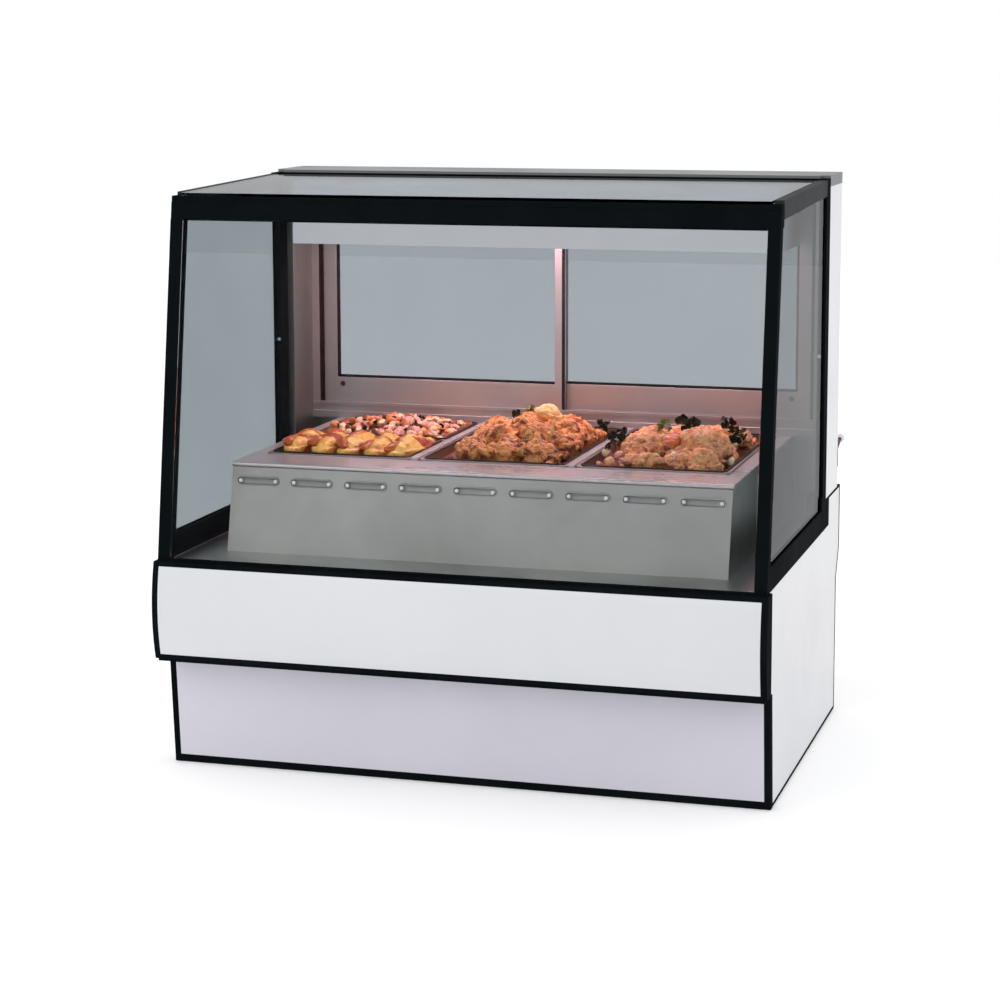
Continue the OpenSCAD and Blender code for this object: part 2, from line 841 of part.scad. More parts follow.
module lamp_hood() {
    color("#b8babf") difference() {
        slab([-hood_hw, hood_y, hood_z], [hood_hw, hood_rear_y, surround_z1]);
        slab([-hood_hw + sheet_t, hood_y + sheet_t, hood_z - 1],
            [hood_hw - sheet_t, hood_rear_y - sheet_t, surround_z1 - sheet_t]);
    }
}

module heat_lamps() {
    color("#f4c0b0") for (x = pan_centres) {
        translate([x - heater_half, heater_y, heater_z]) rotate([0, 90, 0]) cylinder(h = 2 * heater_half, r = 5);
    }
}

module lamp_sockets() {
    half = 9;
    color("#e8e4da") for (x = pan_centres, s = [-1, 1]) {
        end = x + s * (heater_half + half);
        slab([end - half, heater_y - 10, heater_z - 10], [end + half, heater_y + 10, heater_z + 12]);
        slab([end - 2, heater_y - 8, heater_z + 12], [end + 2, heater_y + 8, surround_z1 - sheet_t]);
    }
}

// ---- Rear doors ----

module door_surround() {
    color(steel) difference() {
        union() {
            slab([-surround_hw, surround_front_y, surround_z0], [surround_hw, rear_y, surround_z1]);
            slab([-surround_hw, surround_front_y - sill_step, surround_z0], [surround_hw, rear_y, sill_step_z]);
            slab([-surround_hw, surround_front_y - sill_lip, sill_lip_z], [surround_hw, rear_y, opening_z0]);
        }
        slab([-opening_hw, surround_front_y - 9, opening_z0], [opening_hw, stop_y, opening_z1]);
        slab([-opening_hw + stop_w, stop_y - 1, opening_z0], [opening_hw - stop_w, rear_y + 1, opening_z1]);
        for (y = [door_left_y, door_right_y]) {
            slab([-opening_hw, y - track_gap, opening_z0 - track_depth],
                [opening_hw, y + door_t + track_gap, opening_z1 + track_depth]);
        }
    }
}

// Door frame from x0 to x1 with its outer stile on the side s, in the plane that starts at y
module door_frame(s, y) {
    x0 = s < 0 ? -door_outer_x : door_lap_x;
    x1 = s < 0 ? door_inner_x : door_outer_x;
    g0 = s < 0 ? x0 + door_stile : door_inner_x;
    g1 = s < 0 ? door_lap_x : x1 - door_stile;
    mid = y + door_t / 2;
    half = door_glass_t / 2 + 0.1;
    color("#2b2f31") difference() {
        slab([x0, y, door_z0], [x1, y + door_t, door_z1]);
        slab([g0, y - 1, door_rail_z], [g1, y + door_t + 1, door_top_rail_z]);
        slab([g0 - door_glass_in - 0.2, mid - half, door_rail_z - door_glass_in - 0.2],
            [g1 + door_glass_in + 0.2, mid + half, door_top_rail_z + door_glass_in + 0.2]);
        slab([s * pull_x - pull_w / 2, y + door_t - pull_deep, pull_z - pull_h / 2],
            [s * pull_x + pull_w / 2, y + door_t + 1, pull_z + pull_h / 2]);
    }
}

module door_glass(s, y) {
    x0 = s < 0 ? -door_outer_x + door_stile : door_inner_x;
    x1 = s < 0 ? door_lap_x : door_outer_x - door_stile;
    mid = y + door_t / 2;
    color(glass_tint) slab([x0 - door_glass_in, mid - door_glass_t / 2, door_rail_z - door_glass_in],
        [x1 + door_glass_in, mid + door_glass_t / 2, door_top_rail_z + door_glass_in]);
}

// Flush cup for the fingers, let into the rear of the outer stile
module door_pull(s, y) {
    wall = 1.5;
    color(black) difference() {
        slab([s * pull_x - pull_w / 2, y + door_t - pull_deep, pull_z - pull_h / 2],
            [s * pull_x + pull_w / 2, y + door_t, pull_z + pull_h / 2]);
        slab([s * pull_x - pull_w / 2 + wall, y + door_t - pull_deep + wall, pull_z - pull_h / 2 + wall],
            [s * pull_x + pull_w / 2 - wall, y + door_t + 1, pull_z + pull_h / 2 - wall]);
    }
}

// ---- Fasteners and the rear lever ----

// Screw head of height h, standing out from p along the direction that turn gives
module screw_head(p, turn) {
    translate(p) rotate([turn, 0, 0]) cylinder(h = 2, r = 4);
}

module fasteners() {
    color("#c8ccd0") {
        both_sides() screw_head([side_x0 + 5, post_y, post_screw_z], 90);
        for (x = [-600, -300, 0, 300, 600], z = [20, 285]) {
            screw_head([x, frame_rear_y + sheet_t, z], -90);
        }
        for (x = [-panel_hw + 8, panel_hw - 8], z = [panel_z0 + 7, panel_z1 - 7]) {
            screw_head([x, panel_y + panel_t, z], -90);
        }
    }
}

module rear_lever() {
    reach = norm(lever_tip);
    rise = atan2(lever_tip[2], lever_tip[1]);
    color("#55595c") translate([lever_x, lever_y, lever_z]) {
        difference() {
            union() {
                rotate([0, 90, 0]) translate([0, 0, -6]) cylinder(h = 12, r = 8);
                rotate([rise - 90, 0, 0]) cylinder(h = reach, r = 4);
                translate(lever_tip) sphere(9);
            }
            rotate([0, 90, 0]) translate([0, 0, -9]) cylinder(h = 18, r = lever_r + hinge_fit);
        }
    }
}

module lever_bracket() {
    ear = 3;
    gap = 6.4;
    ear_z = 9;
    color(black) {
        slab([lever_x - 12, rear_y, lever_z - 20], [lever_x + 12, rear_y + 2, lever_z + 20]);
        for (s = [-1, 1]) {
            x = lever_x + s * (gap + ear / 2);
            slab([x - ear / 2, rear_y, lever_z - ear_z], [x + ear / 2, lever_y, lever_z + ear_z]);
            translate([x - ear / 2, lever_y, lever_z]) rotate([0, 90, 0]) cylinder(h = ear, r = ear_z);
        }
        translate([lever_x - gap - ear, lever_y, lever_z]) rotate([0, 90, 0]) cylinder(h = 2 * (gap + ear), r = lever_r);
    }
}

base_frame();
bottom_pan();
side_panel(false);  // side_panel_left
side_panel(true);  // side_panel_right
side_trims();
lower_front_panel();
lower_front_trim();
upper_front_panel();
upper_front_trim();
rear_access_panel();
control_housing();
control_panel();
knob(knob_xs[2]);  // knob_left
knob(knob_xs[1]);  // knob_middle
knob(knob_xs[0]);  // knob_right
switch_rocker(rocker_xs[0]);  // lamp_switch
switch_rocker(rocker_xs[1]);  // light_switch
indicator_lamps();
power_gland();
drain_pipe();
drain_handle();
deck();
well_housing();
well_top();
well_tanks();
heating_elements();
well_insulation();
divider_bars();
food_pan(-pan_pitch, pan_front_y, pan_centre_y - half_gap);  // pan_left_front
food_pan(-pan_pitch, pan_centre_y + half_gap, pan_rear_y);  // pan_left_rear
food_pan(0, pan_front_y, pan_rear_y);  // pan_middle
food_pan(pan_pitch, pan_front_y, pan_rear_y);  // pan_right
front_header();
front_stiles();
front_glass();
front_glass_rail();
hinge_blocks();
side_glass(false);  // side_glass_left
side_glass(true);  // side_glass_right
side_channels();
side_top_rails();
top_panel();
rear_posts();
corner_blocks();
end_panels();
end_liners();
rear_canopy();
lamp_hood();
heat_lamps();
lamp_sockets();
door_surround();
door_frame(-1, door_left_y);  // door_left_frame
door_glass(-1, door_left_y);  // door_left_glass
door_pull(-1, door_left_y);  // door_left_pull
door_frame(1, door_right_y);  // door_right_frame
door_glass(1, door_right_y);  // door_right_glass
door_pull(1, door_right_y);  // door_right_pull
fasteners();
rear_lever();
lever_bracket();
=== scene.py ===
# Heated display case: finishes, seals, food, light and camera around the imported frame
import math
import random

import bmesh
import bpy
from mathutils import Matrix, Vector


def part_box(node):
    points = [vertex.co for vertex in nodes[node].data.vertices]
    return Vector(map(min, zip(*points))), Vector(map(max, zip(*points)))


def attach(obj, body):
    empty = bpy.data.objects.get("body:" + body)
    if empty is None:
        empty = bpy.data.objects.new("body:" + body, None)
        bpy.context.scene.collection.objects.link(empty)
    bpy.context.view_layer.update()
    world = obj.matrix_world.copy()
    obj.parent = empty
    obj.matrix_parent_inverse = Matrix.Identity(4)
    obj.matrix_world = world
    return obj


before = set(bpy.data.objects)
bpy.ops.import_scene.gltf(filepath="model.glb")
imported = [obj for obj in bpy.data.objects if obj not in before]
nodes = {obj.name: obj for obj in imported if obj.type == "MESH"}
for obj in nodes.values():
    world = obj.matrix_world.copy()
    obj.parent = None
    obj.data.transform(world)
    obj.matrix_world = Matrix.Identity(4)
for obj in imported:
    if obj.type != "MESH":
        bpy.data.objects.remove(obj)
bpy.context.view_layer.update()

scene = bpy.context.scene
mm = 0.001
print("frame loaded:", len(nodes), "parts")


# ---- Camera ----

cameraPlan = {
    "place": (1.470277, -5.057299, 1.489853),
    "turn": 16.45,      # degrees to the left
    "dip": 8.035,       # degrees below level
    "roll": -0.151,
    "lens": 89.497,
    "shiftUp": -0.1,
}


def addCamera(plan):
    data = bpy.data.cameras.new("camera")
    data.lens = plan["lens"]
    data.sensor_width = 36.0
    data.shift_y = plan["shiftUp"]
    made = bpy.data.objects.new("camera", data)
    scene.collection.objects.link(made)
    aim = Matrix.Rotation(math.radians(plan["turn"]), 4, "Z")
    aim = aim @ Matrix.Rotation(math.radians(90 - plan["dip"]), 4, "X")
    aim = aim @ Matrix.Rotation(math.radians(plan["roll"]), 4, "Z")
    made.matrix_world = Matrix.Translation(plan["place"]) @ aim
    scene.camera = made


addCamera(cameraPlan)


# ---- Shader node groups ----

def newGroup(name, inputs, outputs):
    group = bpy.data.node_groups.new(name, "ShaderNodeTree")
    for label, kind, value in inputs:
        made = group.interface.new_socket(name=label, in_out="INPUT", socket_type=kind)
        if value is not None:
            made.default_value = value
    for label, kind in outputs:
        group.interface.new_socket(name=label, in_out="OUTPUT", socket_type=kind)
    return group, group.nodes.new("NodeGroupInput"), group.nodes.new("NodeGroupOutput")


def fillSockets(tree, made, values):
    # Links the sockets among the values and sets the plain ones
    for key, value in values.items():
        if isinstance(value, bpy.types.NodeSocket):
            tree.links.new(value, made.inputs[key])
        else:
            made.inputs[key].default_value = value


def addNode(tree, kind, settings=None, values=None):
    made = tree.nodes.new(kind)
    for key, value in (settings or {}).items():
        setattr(made, key, value)
    fillSockets(tree, made, values or {})
    return made


def mathNode(tree, operation, first, second=0.0, clamp=False):
    return addNode(tree, "ShaderNodeMath", {"operation": operation, "use_clamp": clamp},
                   {0: first, 1: second}).outputs[0]


def mixColours(tree, share, first, second):
    return addNode(tree, "ShaderNodeMix", {"data_type": "RGBA"}, {0: share, 6: first, 7: second}).outputs[2]


def rangeNode(tree, value, low, high, newLow=0.0, newHigh=1.0):
    return addNode(tree, "ShaderNodeMapRange", {"clamp": True}, {
        "Value": value, "From Min": low, "From Max": high, "To Min": newLow, "To Max": newHigh}).outputs[0]


def noiseNode(tree, place, scale, detail, rough=0.5, twist=0.0):
    made = addNode(tree, "ShaderNodeTexNoise", None, {
        "Vector": place, "Scale": scale, "Detail": detail, "Roughness": rough, "Distortion": twist})
    return made.outputs["Fac"]


def blendIn(tree, value, mask, share):
    # Adds a share of a mask to a value
    return mathNode(tree, "ADD", value, mathNode(tree, "MULTIPLY", mask, share), True)


floatKind, colourKind, vectorKind = "NodeSocketFloat", "NodeSocketColor", "NodeSocketVector"


def makeFineGrain():
    # Fine surface texture: a height and a patchy mask at two scales
    group, inside, outside = newGroup("fineGrain", [
        ("Vector", vectorKind, None), ("Scale", floatKind, 600.0), ("Patch Scale", floatKind, 6.0)],
        [("Height", floatKind), ("Patch", floatKind)])
    place, scale, patchScale = inside.outputs[:3]
    small = noiseNode(group, place, scale, 3.0, 0.6)
    large = noiseNode(group, place, patchScale, 5.0, 0.62, 0.4)
    group.links.new(small, outside.inputs["Height"])
    group.links.new(rangeNode(group, large, 0.36, 0.68), outside.inputs["Patch"])
    return group


def makeBrushing():
    # Drawn lines along X: a height and a roughness mask
    group, inside, outside = newGroup("brushing", [
        ("Vector", vectorKind, None), ("Line Scale", floatKind, 900.0)],
        [("Height", floatKind), ("Streak", floatKind)])
    place, lineScale = inside.outputs[:2]
    stretch = addNode(group, "ShaderNodeVectorMath", {"operation": "MULTIPLY"}, {
        0: place, 1: (0.012, 1.0, 1.0)}).outputs[0]
    fine = noiseNode(group, stretch, lineScale, 4.0, 0.7)
    broad = noiseNode(group, stretch, 60.0, 3.0, 0.6)
    total = mathNode(group, "ADD", mathNode(group, "MULTIPLY", fine, 0.65),
                     mathNode(group, "MULTIPLY", broad, 0.35))
    group.links.new(total, outside.inputs["Height"])
    group.links.new(rangeNode(group, total, 0.35, 0.65), outside.inputs["Streak"])
    return group


def makeEdgeWear():
    # Rubbed edges: where a rounded normal parts from the true one, broken up by noise
    group, inside, outside = newGroup("edgeWear", [
        ("Vector", vectorKind, None), ("Width", floatKind, 0.002), ("Amount", floatKind, 0.5)],
        [("Mask", floatKind)])
    place, width, amount = inside.outputs[:3]
    rounded = addNode(group, "ShaderNodeBevel", {"samples": 4}, {"Radius": width})
    true = addNode(group, "ShaderNodeNewGeometry")
    facing = addNode(group, "ShaderNodeVectorMath", {"operation": "DOT_PRODUCT"}, {
        0: rounded.outputs["Normal"], 1: true.outputs["Normal"]}).outputs["Value"]
    edge = rangeNode(group, facing, 0.99, 0.85)
    patches = rangeNode(group, noiseNode(group, place, 35.0, 6.0, 0.7), 0.42, 0.62)
    mask = mathNode(group, "MULTIPLY", edge, patches)
    group.links.new(mathNode(group, "MULTIPLY", mask, amount, True), outside.inputs["Mask"])
    return group


def makeSettledDust():
    # Dust on faces that look up, in soft patches
    group, inside, outside = newGroup("settledDust", [
        ("Vector", vectorKind, None), ("Amount", floatKind, 0.3)], [("Mask", floatKind)])
    place, amount = inside.outputs[:2]
    true = addNode(group, "ShaderNodeNewGeometry")
    parts = addNode(group, "ShaderNodeSeparateXYZ", None, {"Vector": true.outputs["Normal"]})
    upward = rangeNode(group, parts.outputs["Z"], 0.35, 0.95)
    patches = rangeNode(group, noiseNode(group, place, 14.0, 8.0, 0.75), 0.35, 0.75)
    mask = mathNode(group, "MULTIPLY", upward, patches)
    group.links.new(mathNode(group, "MULTIPLY", mask, amount, True), outside.inputs["Mask"])
    return group


def makeWipeMarks():
    # Faint marks left by a cloth, in arcs and streaks
    group, inside, outside = newGroup("wipeMarks", [
        ("Vector", vectorKind, None), ("Scale", floatKind, 4.0)], [("Mask", floatKind)])
    place, scale = inside.outputs[:2]
    wave = addNode(group, "ShaderNodeTexWave", {"wave_type": "BANDS", "bands_direction": "DIAGONAL"}, {
        "Vector": place, "Scale": scale, "Distortion": 9.0, "Detail": 3.0, "Detail Scale": 1.2})
    area = rangeNode(group, noiseNode(group, place, scale, 4.0), 0.45, 0.7)
    group.links.new(mathNode(group, "MULTIPLY", wave.outputs["Fac"], area, True), outside.inputs["Mask"])
    return group


def makeCookedMottle():
    # Three cooked colours in soft patches, with a crumbly height
    group, inside, outside = newGroup("cookedMottle", [
        ("Vector", vectorKind, None), ("Scale", floatKind, 40.0),
        ("Pale", colourKind, (0.8, 0.6, 0.3, 1)), ("Middle", colourKind, (0.7, 0.35, 0.12, 1)),
        ("Dark", colourKind, (0.3, 0.08, 0.03, 1)), ("Dark Share", floatKind, 0.4)],
        [("Color", colourKind), ("Height", floatKind), ("Dark Mask", floatKind)])
    place, scale, pale, middle, dark, darkShare = inside.outputs[:6]
    soft = noiseNode(group, place, scale, 6.0, 0.65, 0.6)
    crumbs = addNode(group, "ShaderNodeTexVoronoi", {"feature": "SMOOTH_F1"}, {
        "Vector": place, "Scale": mathNode(group, "MULTIPLY", scale, 2.3), "Smoothness": 0.6})
    other = noiseNode(group, place, mathNode(group, "MULTIPLY", scale, 0.55), 4.0, 0.6, 1.2)
    first = mixColours(group, rangeNode(group, soft, 0.38, 0.62), pale, middle)
    limit = mathNode(group, "SUBTRACT", 0.85, mathNode(group, "MULTIPLY", darkShare, 0.6))
    darkMask = rangeNode(group, other, limit, mathNode(group, "ADD", limit, 0.12))
    height = mathNode(group, "SUBTRACT", soft, mathNode(group, "MULTIPLY", crumbs.outputs["Distance"], 0.8))
    group.links.new(mixColours(group, darkMask, first, dark), outside.inputs["Color"])
    group.links.new(height, outside.inputs["Height"])
    group.links.new(darkMask, outside.inputs["Dark Mask"])
    return group


groups = {
    "grain": makeFineGrain(),
    "brushing": makeBrushing(),
    "wear": makeEdgeWear(),
    "dust": makeSettledDust(),
    "wipe": makeWipeMarks(),
    "cooked": makeCookedMottle(),
}
print("node groups made:", len(groups))


# ---- Materials ----

def newMaterial(name):
    made = bpy.data.materials.new(name)
    made.use_nodes = True
    tree = made.node_tree
    tree.nodes.clear()
    output = tree.nodes.new("ShaderNodeOutputMaterial")
    shader = tree.nodes.new("ShaderNodeBsdfPrincipled")
    tree.links.new(shader.outputs["BSDF"], output.inputs["Surface"])
    return made, tree, shader, output


def placeGroup(tree, kind, values):
    made = addNode(tree, "ShaderNodeGroup")
    made.node_tree = groups[kind]
    fillSockets(tree, made, values)
    return made.outputs


def objectPlace(tree):
    return tree.nodes.new("ShaderNodeTexCoord").outputs["Object"]


def addBump(tree, shader, height, strength, distance):
    bump = addNode(tree, "ShaderNodeBump", None, {
        "Height": height, "Strength": strength, "Distance": distance})
    tree.links.new(bump.outputs["Normal"], shader.inputs["Normal"])


def plainFinish(name, look):
    # A solid finish: patchy tone, texture, rubbed edges and a little dust
    made, tree, shader, output = newMaterial(name)
    place = objectPlace(tree)
    base, shade = (*look["colour"], 1), (*look["shade"], 1)
    grain = placeGroup(tree, "grain", {
        "Vector": place, "Scale": look.get("grain", 700.0), "Patch Scale": look.get("patch", 5.0)})
    wipe = placeGroup(tree, "wipe", {"Vector": place, "Scale": look.get("wipe", 3.0)})
    colour = mixColours(tree, grain["Patch"], base, shade)
    rough = rangeNode(tree, grain["Patch"], 0.0, 1.0, *look["rough"])
    rough = blendIn(tree, rough, wipe["Mask"], 0.06)
    height = grain["Height"]
    if "brushed" in look:
        brushing = placeGroup(tree, "brushing", {"Vector": place, "Line Scale": look["brushed"]})
        height = brushing["Height"]
        rough = blendIn(tree, rough, brushing["Streak"], 0.08)
        colour = mixColours(tree, 0.25, colour, mixColours(tree, brushing["Streak"], shade, base))
    if "wear" in look:
        wear = placeGroup(tree, "wear", {"Vector": place, "Width": 0.0015, "Amount": look["wear"]})
        colour = mixColours(tree, wear["Mask"], colour, (*look["worn"], 1))
    if "dust" in look:
        dust = placeGroup(tree, "dust", {"Vector": place, "Amount": look["dust"]})
        colour = mixColours(tree, dust["Mask"], colour, (0.62, 0.6, 0.57, 1))
        rough = blendIn(tree, rough, dust["Mask"], 0.4)
    fillSockets(tree, shader, {
        "Base Color": colour, "Roughness": rough, "Metallic": look.get("metal", 0.0),
        "Specular IOR Level": look.get("gloss", 0.4), "Coat Weight": look.get("coat", 0.0),
        "Coat Roughness": 0.12})
    if "glow" in look:
        fillSockets(tree, shader, {"Emission Color": (1, 1, 1, 1), "Emission Strength": look["glow"]})
    addBump(tree, shader, height, look.get("bump", 0.12), look.get("depth", 0.0004))
    return made


def paneGlass(name, look):
    # Toughened glass: wiped haze in its gloss; lamps and bounced light pass straight through
    made, tree, shader, output = newMaterial(name)
    place = objectPlace(tree)
    wipe = placeGroup(tree, "wipe", {"Vector": place, "Scale": look["wipe"]})
    grain = placeGroup(tree, "grain", {"Vector": place, "Scale": 300.0, "Patch Scale": 3.0})
    haze = mathNode(tree, "MULTIPLY", wipe["Mask"], look["haze"])
    haze = mathNode(tree, "ADD", haze, mathNode(tree, "MULTIPLY", grain["Patch"], 0.01))
    tint = mixColours(tree, grain["Patch"], (*look["colour"], 1), (*look["shade"], 1))
    fillSockets(tree, shader, {
        "Base Color": tint, "Roughness": haze, "Transmission Weight": 1.0, "IOR": look["ior"]})
    through = addNode(tree, "ShaderNodeBsdfTransparent", None, {"Color": (*look["through"], 1)})
    path = tree.nodes.new("ShaderNodeLightPath")
    passing = mathNode(tree, "MAXIMUM", path.outputs["Is Shadow Ray"], path.outputs["Is Diffuse Ray"])
    mixed = addNode(tree, "ShaderNodeMixShader", None, {
        0: passing, 1: shader.outputs["BSDF"], 2: through.outputs["BSDF"]})
    tree.links.new(mixed.outputs[0], output.inputs["Surface"])
    return made


def glowingTube(name, look):
    made, tree, shader, output = newMaterial(name)
    streak = placeGroup(tree, "brushing", {"Vector": objectPlace(tree), "Line Scale": 200.0})["Streak"]
    glow = mixColours(tree, streak, (*look["colour"], 1), (*look["shade"], 1))
    fillSockets(tree, shader, {
        "Emission Color": glow, "Base Color": glow, "Roughness": rangeNode(tree, streak, 0, 1, 0.1, 0.3),
        "Emission Strength": look["strength"]})
    return made


def cookedFinish(name, look):
    # Food: mottled colour, crumbly surface, wet shine on the dark patches
    made, tree, shader, output = newMaterial(name)
    cooked = placeGroup(tree, "cooked", {
        "Vector": objectPlace(tree), "Scale": look["scale"], "Pale": (*look["pale"], 1),
        "Middle": (*look["middle"], 1), "Dark": (*look["dark"], 1), "Dark Share": look["darkShare"]})
    fillSockets(tree, shader, {
        "Base Color": cooked["Color"], "Roughness": rangeNode(tree, cooked["Dark Mask"], 0, 1, *look["rough"]),
        "Subsurface Weight": look.get("soft", 0.15), "Subsurface Radius": (0.01, 0.004, 0.002),
        "Subsurface Scale": 0.5, "Specular IOR Level": look.get("gloss", 0.5)})
    addBump(tree, shader, cooked["Height"], look.get("bump", 0.6), look.get("depth", 0.004))
    return made


solidLooks = {
    "laminate": {"colour": (0.655, 0.663, 0.69), "shade": (0.63, 0.638, 0.667), "rough": (0.3, 0.4),
                 "grain": 420.0, "patch": 2.2, "bump": 0.05, "dust": 0.1, "gloss": 0.4, "coat": 0.08},
    # A darker copy of the laminate for the lower front panel: painted shade of a panel facing slightly down
    # under the overhang
    "laminatePaintedShade": {"colour": (0.585, 0.575, 0.64), "shade": (0.545, 0.535, 0.605), "rough": (0.3, 0.42),
                      "grain": 420.0, "patch": 2.0, "bump": 0.05, "gloss": 0.4, "coat": 0.08},
    "blackTrim": {"colour": (0.0035, 0.005, 0.006), "shade": (0.006, 0.008, 0.0095), "rough": (0.42, 0.58),
                  "grain": 900.0, "gloss": 0.001, "wear": 0.3, "worn": (0.022, 0.025, 0.028), "bump": 0.06},
    "blackAnodised": {"colour": (0.003, 0.0045, 0.0055), "shade": (0.005, 0.007, 0.0085), "rough": (0.34, 0.46),
                      "brushed": 1400.0, "gloss": 0.0008, "wear": 0.3, "worn": (0.03, 0.034, 0.037),
                      "bump": 0.02},
    # A lighter grey copy of the black anodising for the side top rails: painted sheen of rails seen at a
    # grazing angle
    "anodisedPaintedSheen": {"colour": (0.028, 0.032, 0.033), "shade": (0.036, 0.041, 0.043), "rough": (0.4, 0.5),
                     "brushed": 1200.0, "gloss": 0.012, "wear": 0.4, "worn": (0.12, 0.13, 0.135),
                     "bump": 0.05},
    "steel": {"colour": (0.40, 0.395, 0.375), "shade": (0.33, 0.325, 0.31), "rough": (0.28, 0.42), "metal": 1.0,
              "brushed": 1100.0, "patch": 4.0, "bump": 0.08, "wear": 0.3, "worn": (0.6, 0.6, 0.59)},
    # Lighter, pinkish steel for the well top and dividers: painted light of the pink heat lamps
    "topSteelPaintedLampLight": {"colour": (0.60, 0.55, 0.56), "shade": (0.52, 0.47, 0.48), "rough": (0.2, 0.3), "metal": 0.6,
                 "brushed": 1100.0, "patch": 4.0, "bump": 0.03, "wear": 0.3, "worn": (0.7, 0.7, 0.69)},
    "deckSteel": {"colour": (0.50, 0.50, 0.49), "shade": (0.43, 0.43, 0.42), "rough": (0.28, 0.4), "metal": 1.0,
                  "brushed": 1100.0, "patch": 4.0, "bump": 0.08, "wear": 0.3, "worn": (0.7, 0.7, 0.69)},
    # Darker, duller steel for the slot pockets: painted shade in the recesses
    "scoopPaintedShade": {"colour": (0.36, 0.36, 0.35), "shade": (0.30, 0.30, 0.29), "rough": (0.45, 0.55),
                   "metal": 0.4, "patch": 9.0},
    # Near-white paint for the dots at the pocket ends: painted highlights
    "paintedHighlightWhite": {"colour": (0.90, 0.91, 0.91), "shade": (0.84, 0.85, 0.85), "rough": (0.2, 0.3), "coat": 0.3},
    "innerSteel": {"colour": (0.42, 0.41, 0.4), "shade": (0.3, 0.29, 0.28), "rough": (0.35, 0.55), "metal": 1.0,
                   "brushed": 800.0, "patch": 7.0, "bump": 0.12},
    "trackAluminium": {"colour": (0.47, 0.455, 0.455), "shade": (0.40, 0.385, 0.385), "rough": (0.34, 0.46),
                       "metal": 0.85, "brushed": 1300.0, "wear": 0.35, "worn": (0.66, 0.64, 0.63)},
    "hoodPaint": {"colour": (0.73, 0.73, 0.745), "shade": (0.70, 0.70, 0.715), "rough": (0.3, 0.4),
                  "grain": 500.0, "patch": 3.0, "bump": 0.06, "wear": 0.3, "worn": (0.8, 0.8, 0.8)},
    "canopyPaint": {"colour": (0.18, 0.187, 0.195), "shade": (0.15, 0.157, 0.163), "rough": (0.4, 0.5),
                    "grain": 500.0, "patch": 3.0, "dust": 0.2, "wear": 0.4, "worn": (0.45, 0.45, 0.45)},
    "framePaint": {"colour": (0.14, 0.15, 0.16), "shade": (0.11, 0.115, 0.125), "rough": (0.5, 0.62),
                   "grain": 900.0, "dust": 0.2, "wear": 0.5, "worn": (0.35, 0.35, 0.35)},
    "panelGrey": {"colour": (0.11, 0.112, 0.115), "shade": (0.09, 0.092, 0.095), "rough": (0.4, 0.5),
                  "grain": 900.0, "wear": 0.4, "worn": (0.4, 0.4, 0.4)},
    "ceramic": {"colour": (0.78, 0.75, 0.68), "shade": (0.66, 0.6, 0.52), "rough": (0.55, 0.7), "grain": 800.0},
    "brass": {"colour": (0.62, 0.42, 0.18), "shade": (0.4, 0.25, 0.12), "rough": (0.3, 0.5), "metal": 1.0,
              "patch": 20.0},
    "redPlastic": {"colour": (0.5, 0.035, 0.03), "shade": (0.4, 0.025, 0.02), "rough": (0.25, 0.35),
                   "coat": 0.3, "wear": 0.4, "worn": (0.6, 0.2, 0.18)},
    "knobPlastic": {"colour": (0.014, 0.014, 0.015), "shade": (0.02, 0.02, 0.021), "rough": (0.38, 0.5),
                    "grain": 1200.0, "bump": 0.2, "wear": 0.5, "worn": (0.07, 0.07, 0.07)},
    "heaterSheath": {"colour": (0.2, 0.16, 0.13), "shade": (0.1, 0.1, 0.14), "rough": (0.35, 0.5), "metal": 1.0,
                     "patch": 12.0},
    "insulation": {"colour": (0.7, 0.62, 0.42), "shade": (0.55, 0.46, 0.28), "rough": (0.9, 1.0),
                   "grain": 150.0, "bump": 0.9, "depth": 0.003},
    "screwSteel": {"colour": (0.80, 0.81, 0.82), "shade": (0.7, 0.71, 0.72), "rough": (0.12, 0.2),
                   "metal": 1.0},
    "leverSteel": {"colour": (0.10, 0.105, 0.11), "shade": (0.07, 0.075, 0.08), "rough": (0.3, 0.42),
                   "metal": 0.9, "wear": 0.4, "worn": (0.4, 0.4, 0.4)},
    "leverBall": {"colour": (0.72, 0.73, 0.75), "shade": (0.62, 0.63, 0.65), "rough": (0.25, 0.35),
                  "coat": 0.3},
    "sealRubber": {"colour": (0.018, 0.02, 0.021), "shade": (0.012, 0.013, 0.014), "rough": (0.7, 0.8),
                   "gloss": 0.01, "grain": 1200.0},
    "brushSeal": {"colour": (0.03, 0.017, 0.015), "shade": (0.014, 0.008, 0.007), "rough": (0.85, 0.95),
                  "gloss": 0.05, "brushed": 2000.0, "bump": 0.5},
    # Near-black finish of the pan rims: painted shade of the pans' inner rims
    "panRimPaintedShade": {"colour": (0.018, 0.013, 0.011), "shade": (0.035, 0.022, 0.017), "rough": (0.3, 0.42),
               "gloss": 0.2, "patch": 30.0},
    "panSteel": {"colour": (0.42, 0.38, 0.37), "shade": (0.30, 0.27, 0.26), "rough": (0.28, 0.42), "metal": 1.0,
                 "brushed": 900.0, "patch": 9.0},
    "brownScrew": {"colour": (0.12, 0.035, 0.025), "shade": (0.08, 0.025, 0.02), "rough": (0.3, 0.4),
                   "metal": 0.5},
    "dialWhite": {"colour": (0.75, 0.75, 0.74), "shade": (0.68, 0.68, 0.67), "rough": (0.45, 0.55)},
    "studioFloor": {"colour": (0.95, 0.95, 0.95), "shade": (0.94, 0.94, 0.94), "rough": (0.75, 0.85),
                    "grain": 80.0, "patch": 0.8, "gloss": 0.1, "bump": 0.02, "glow": 0.16},
}

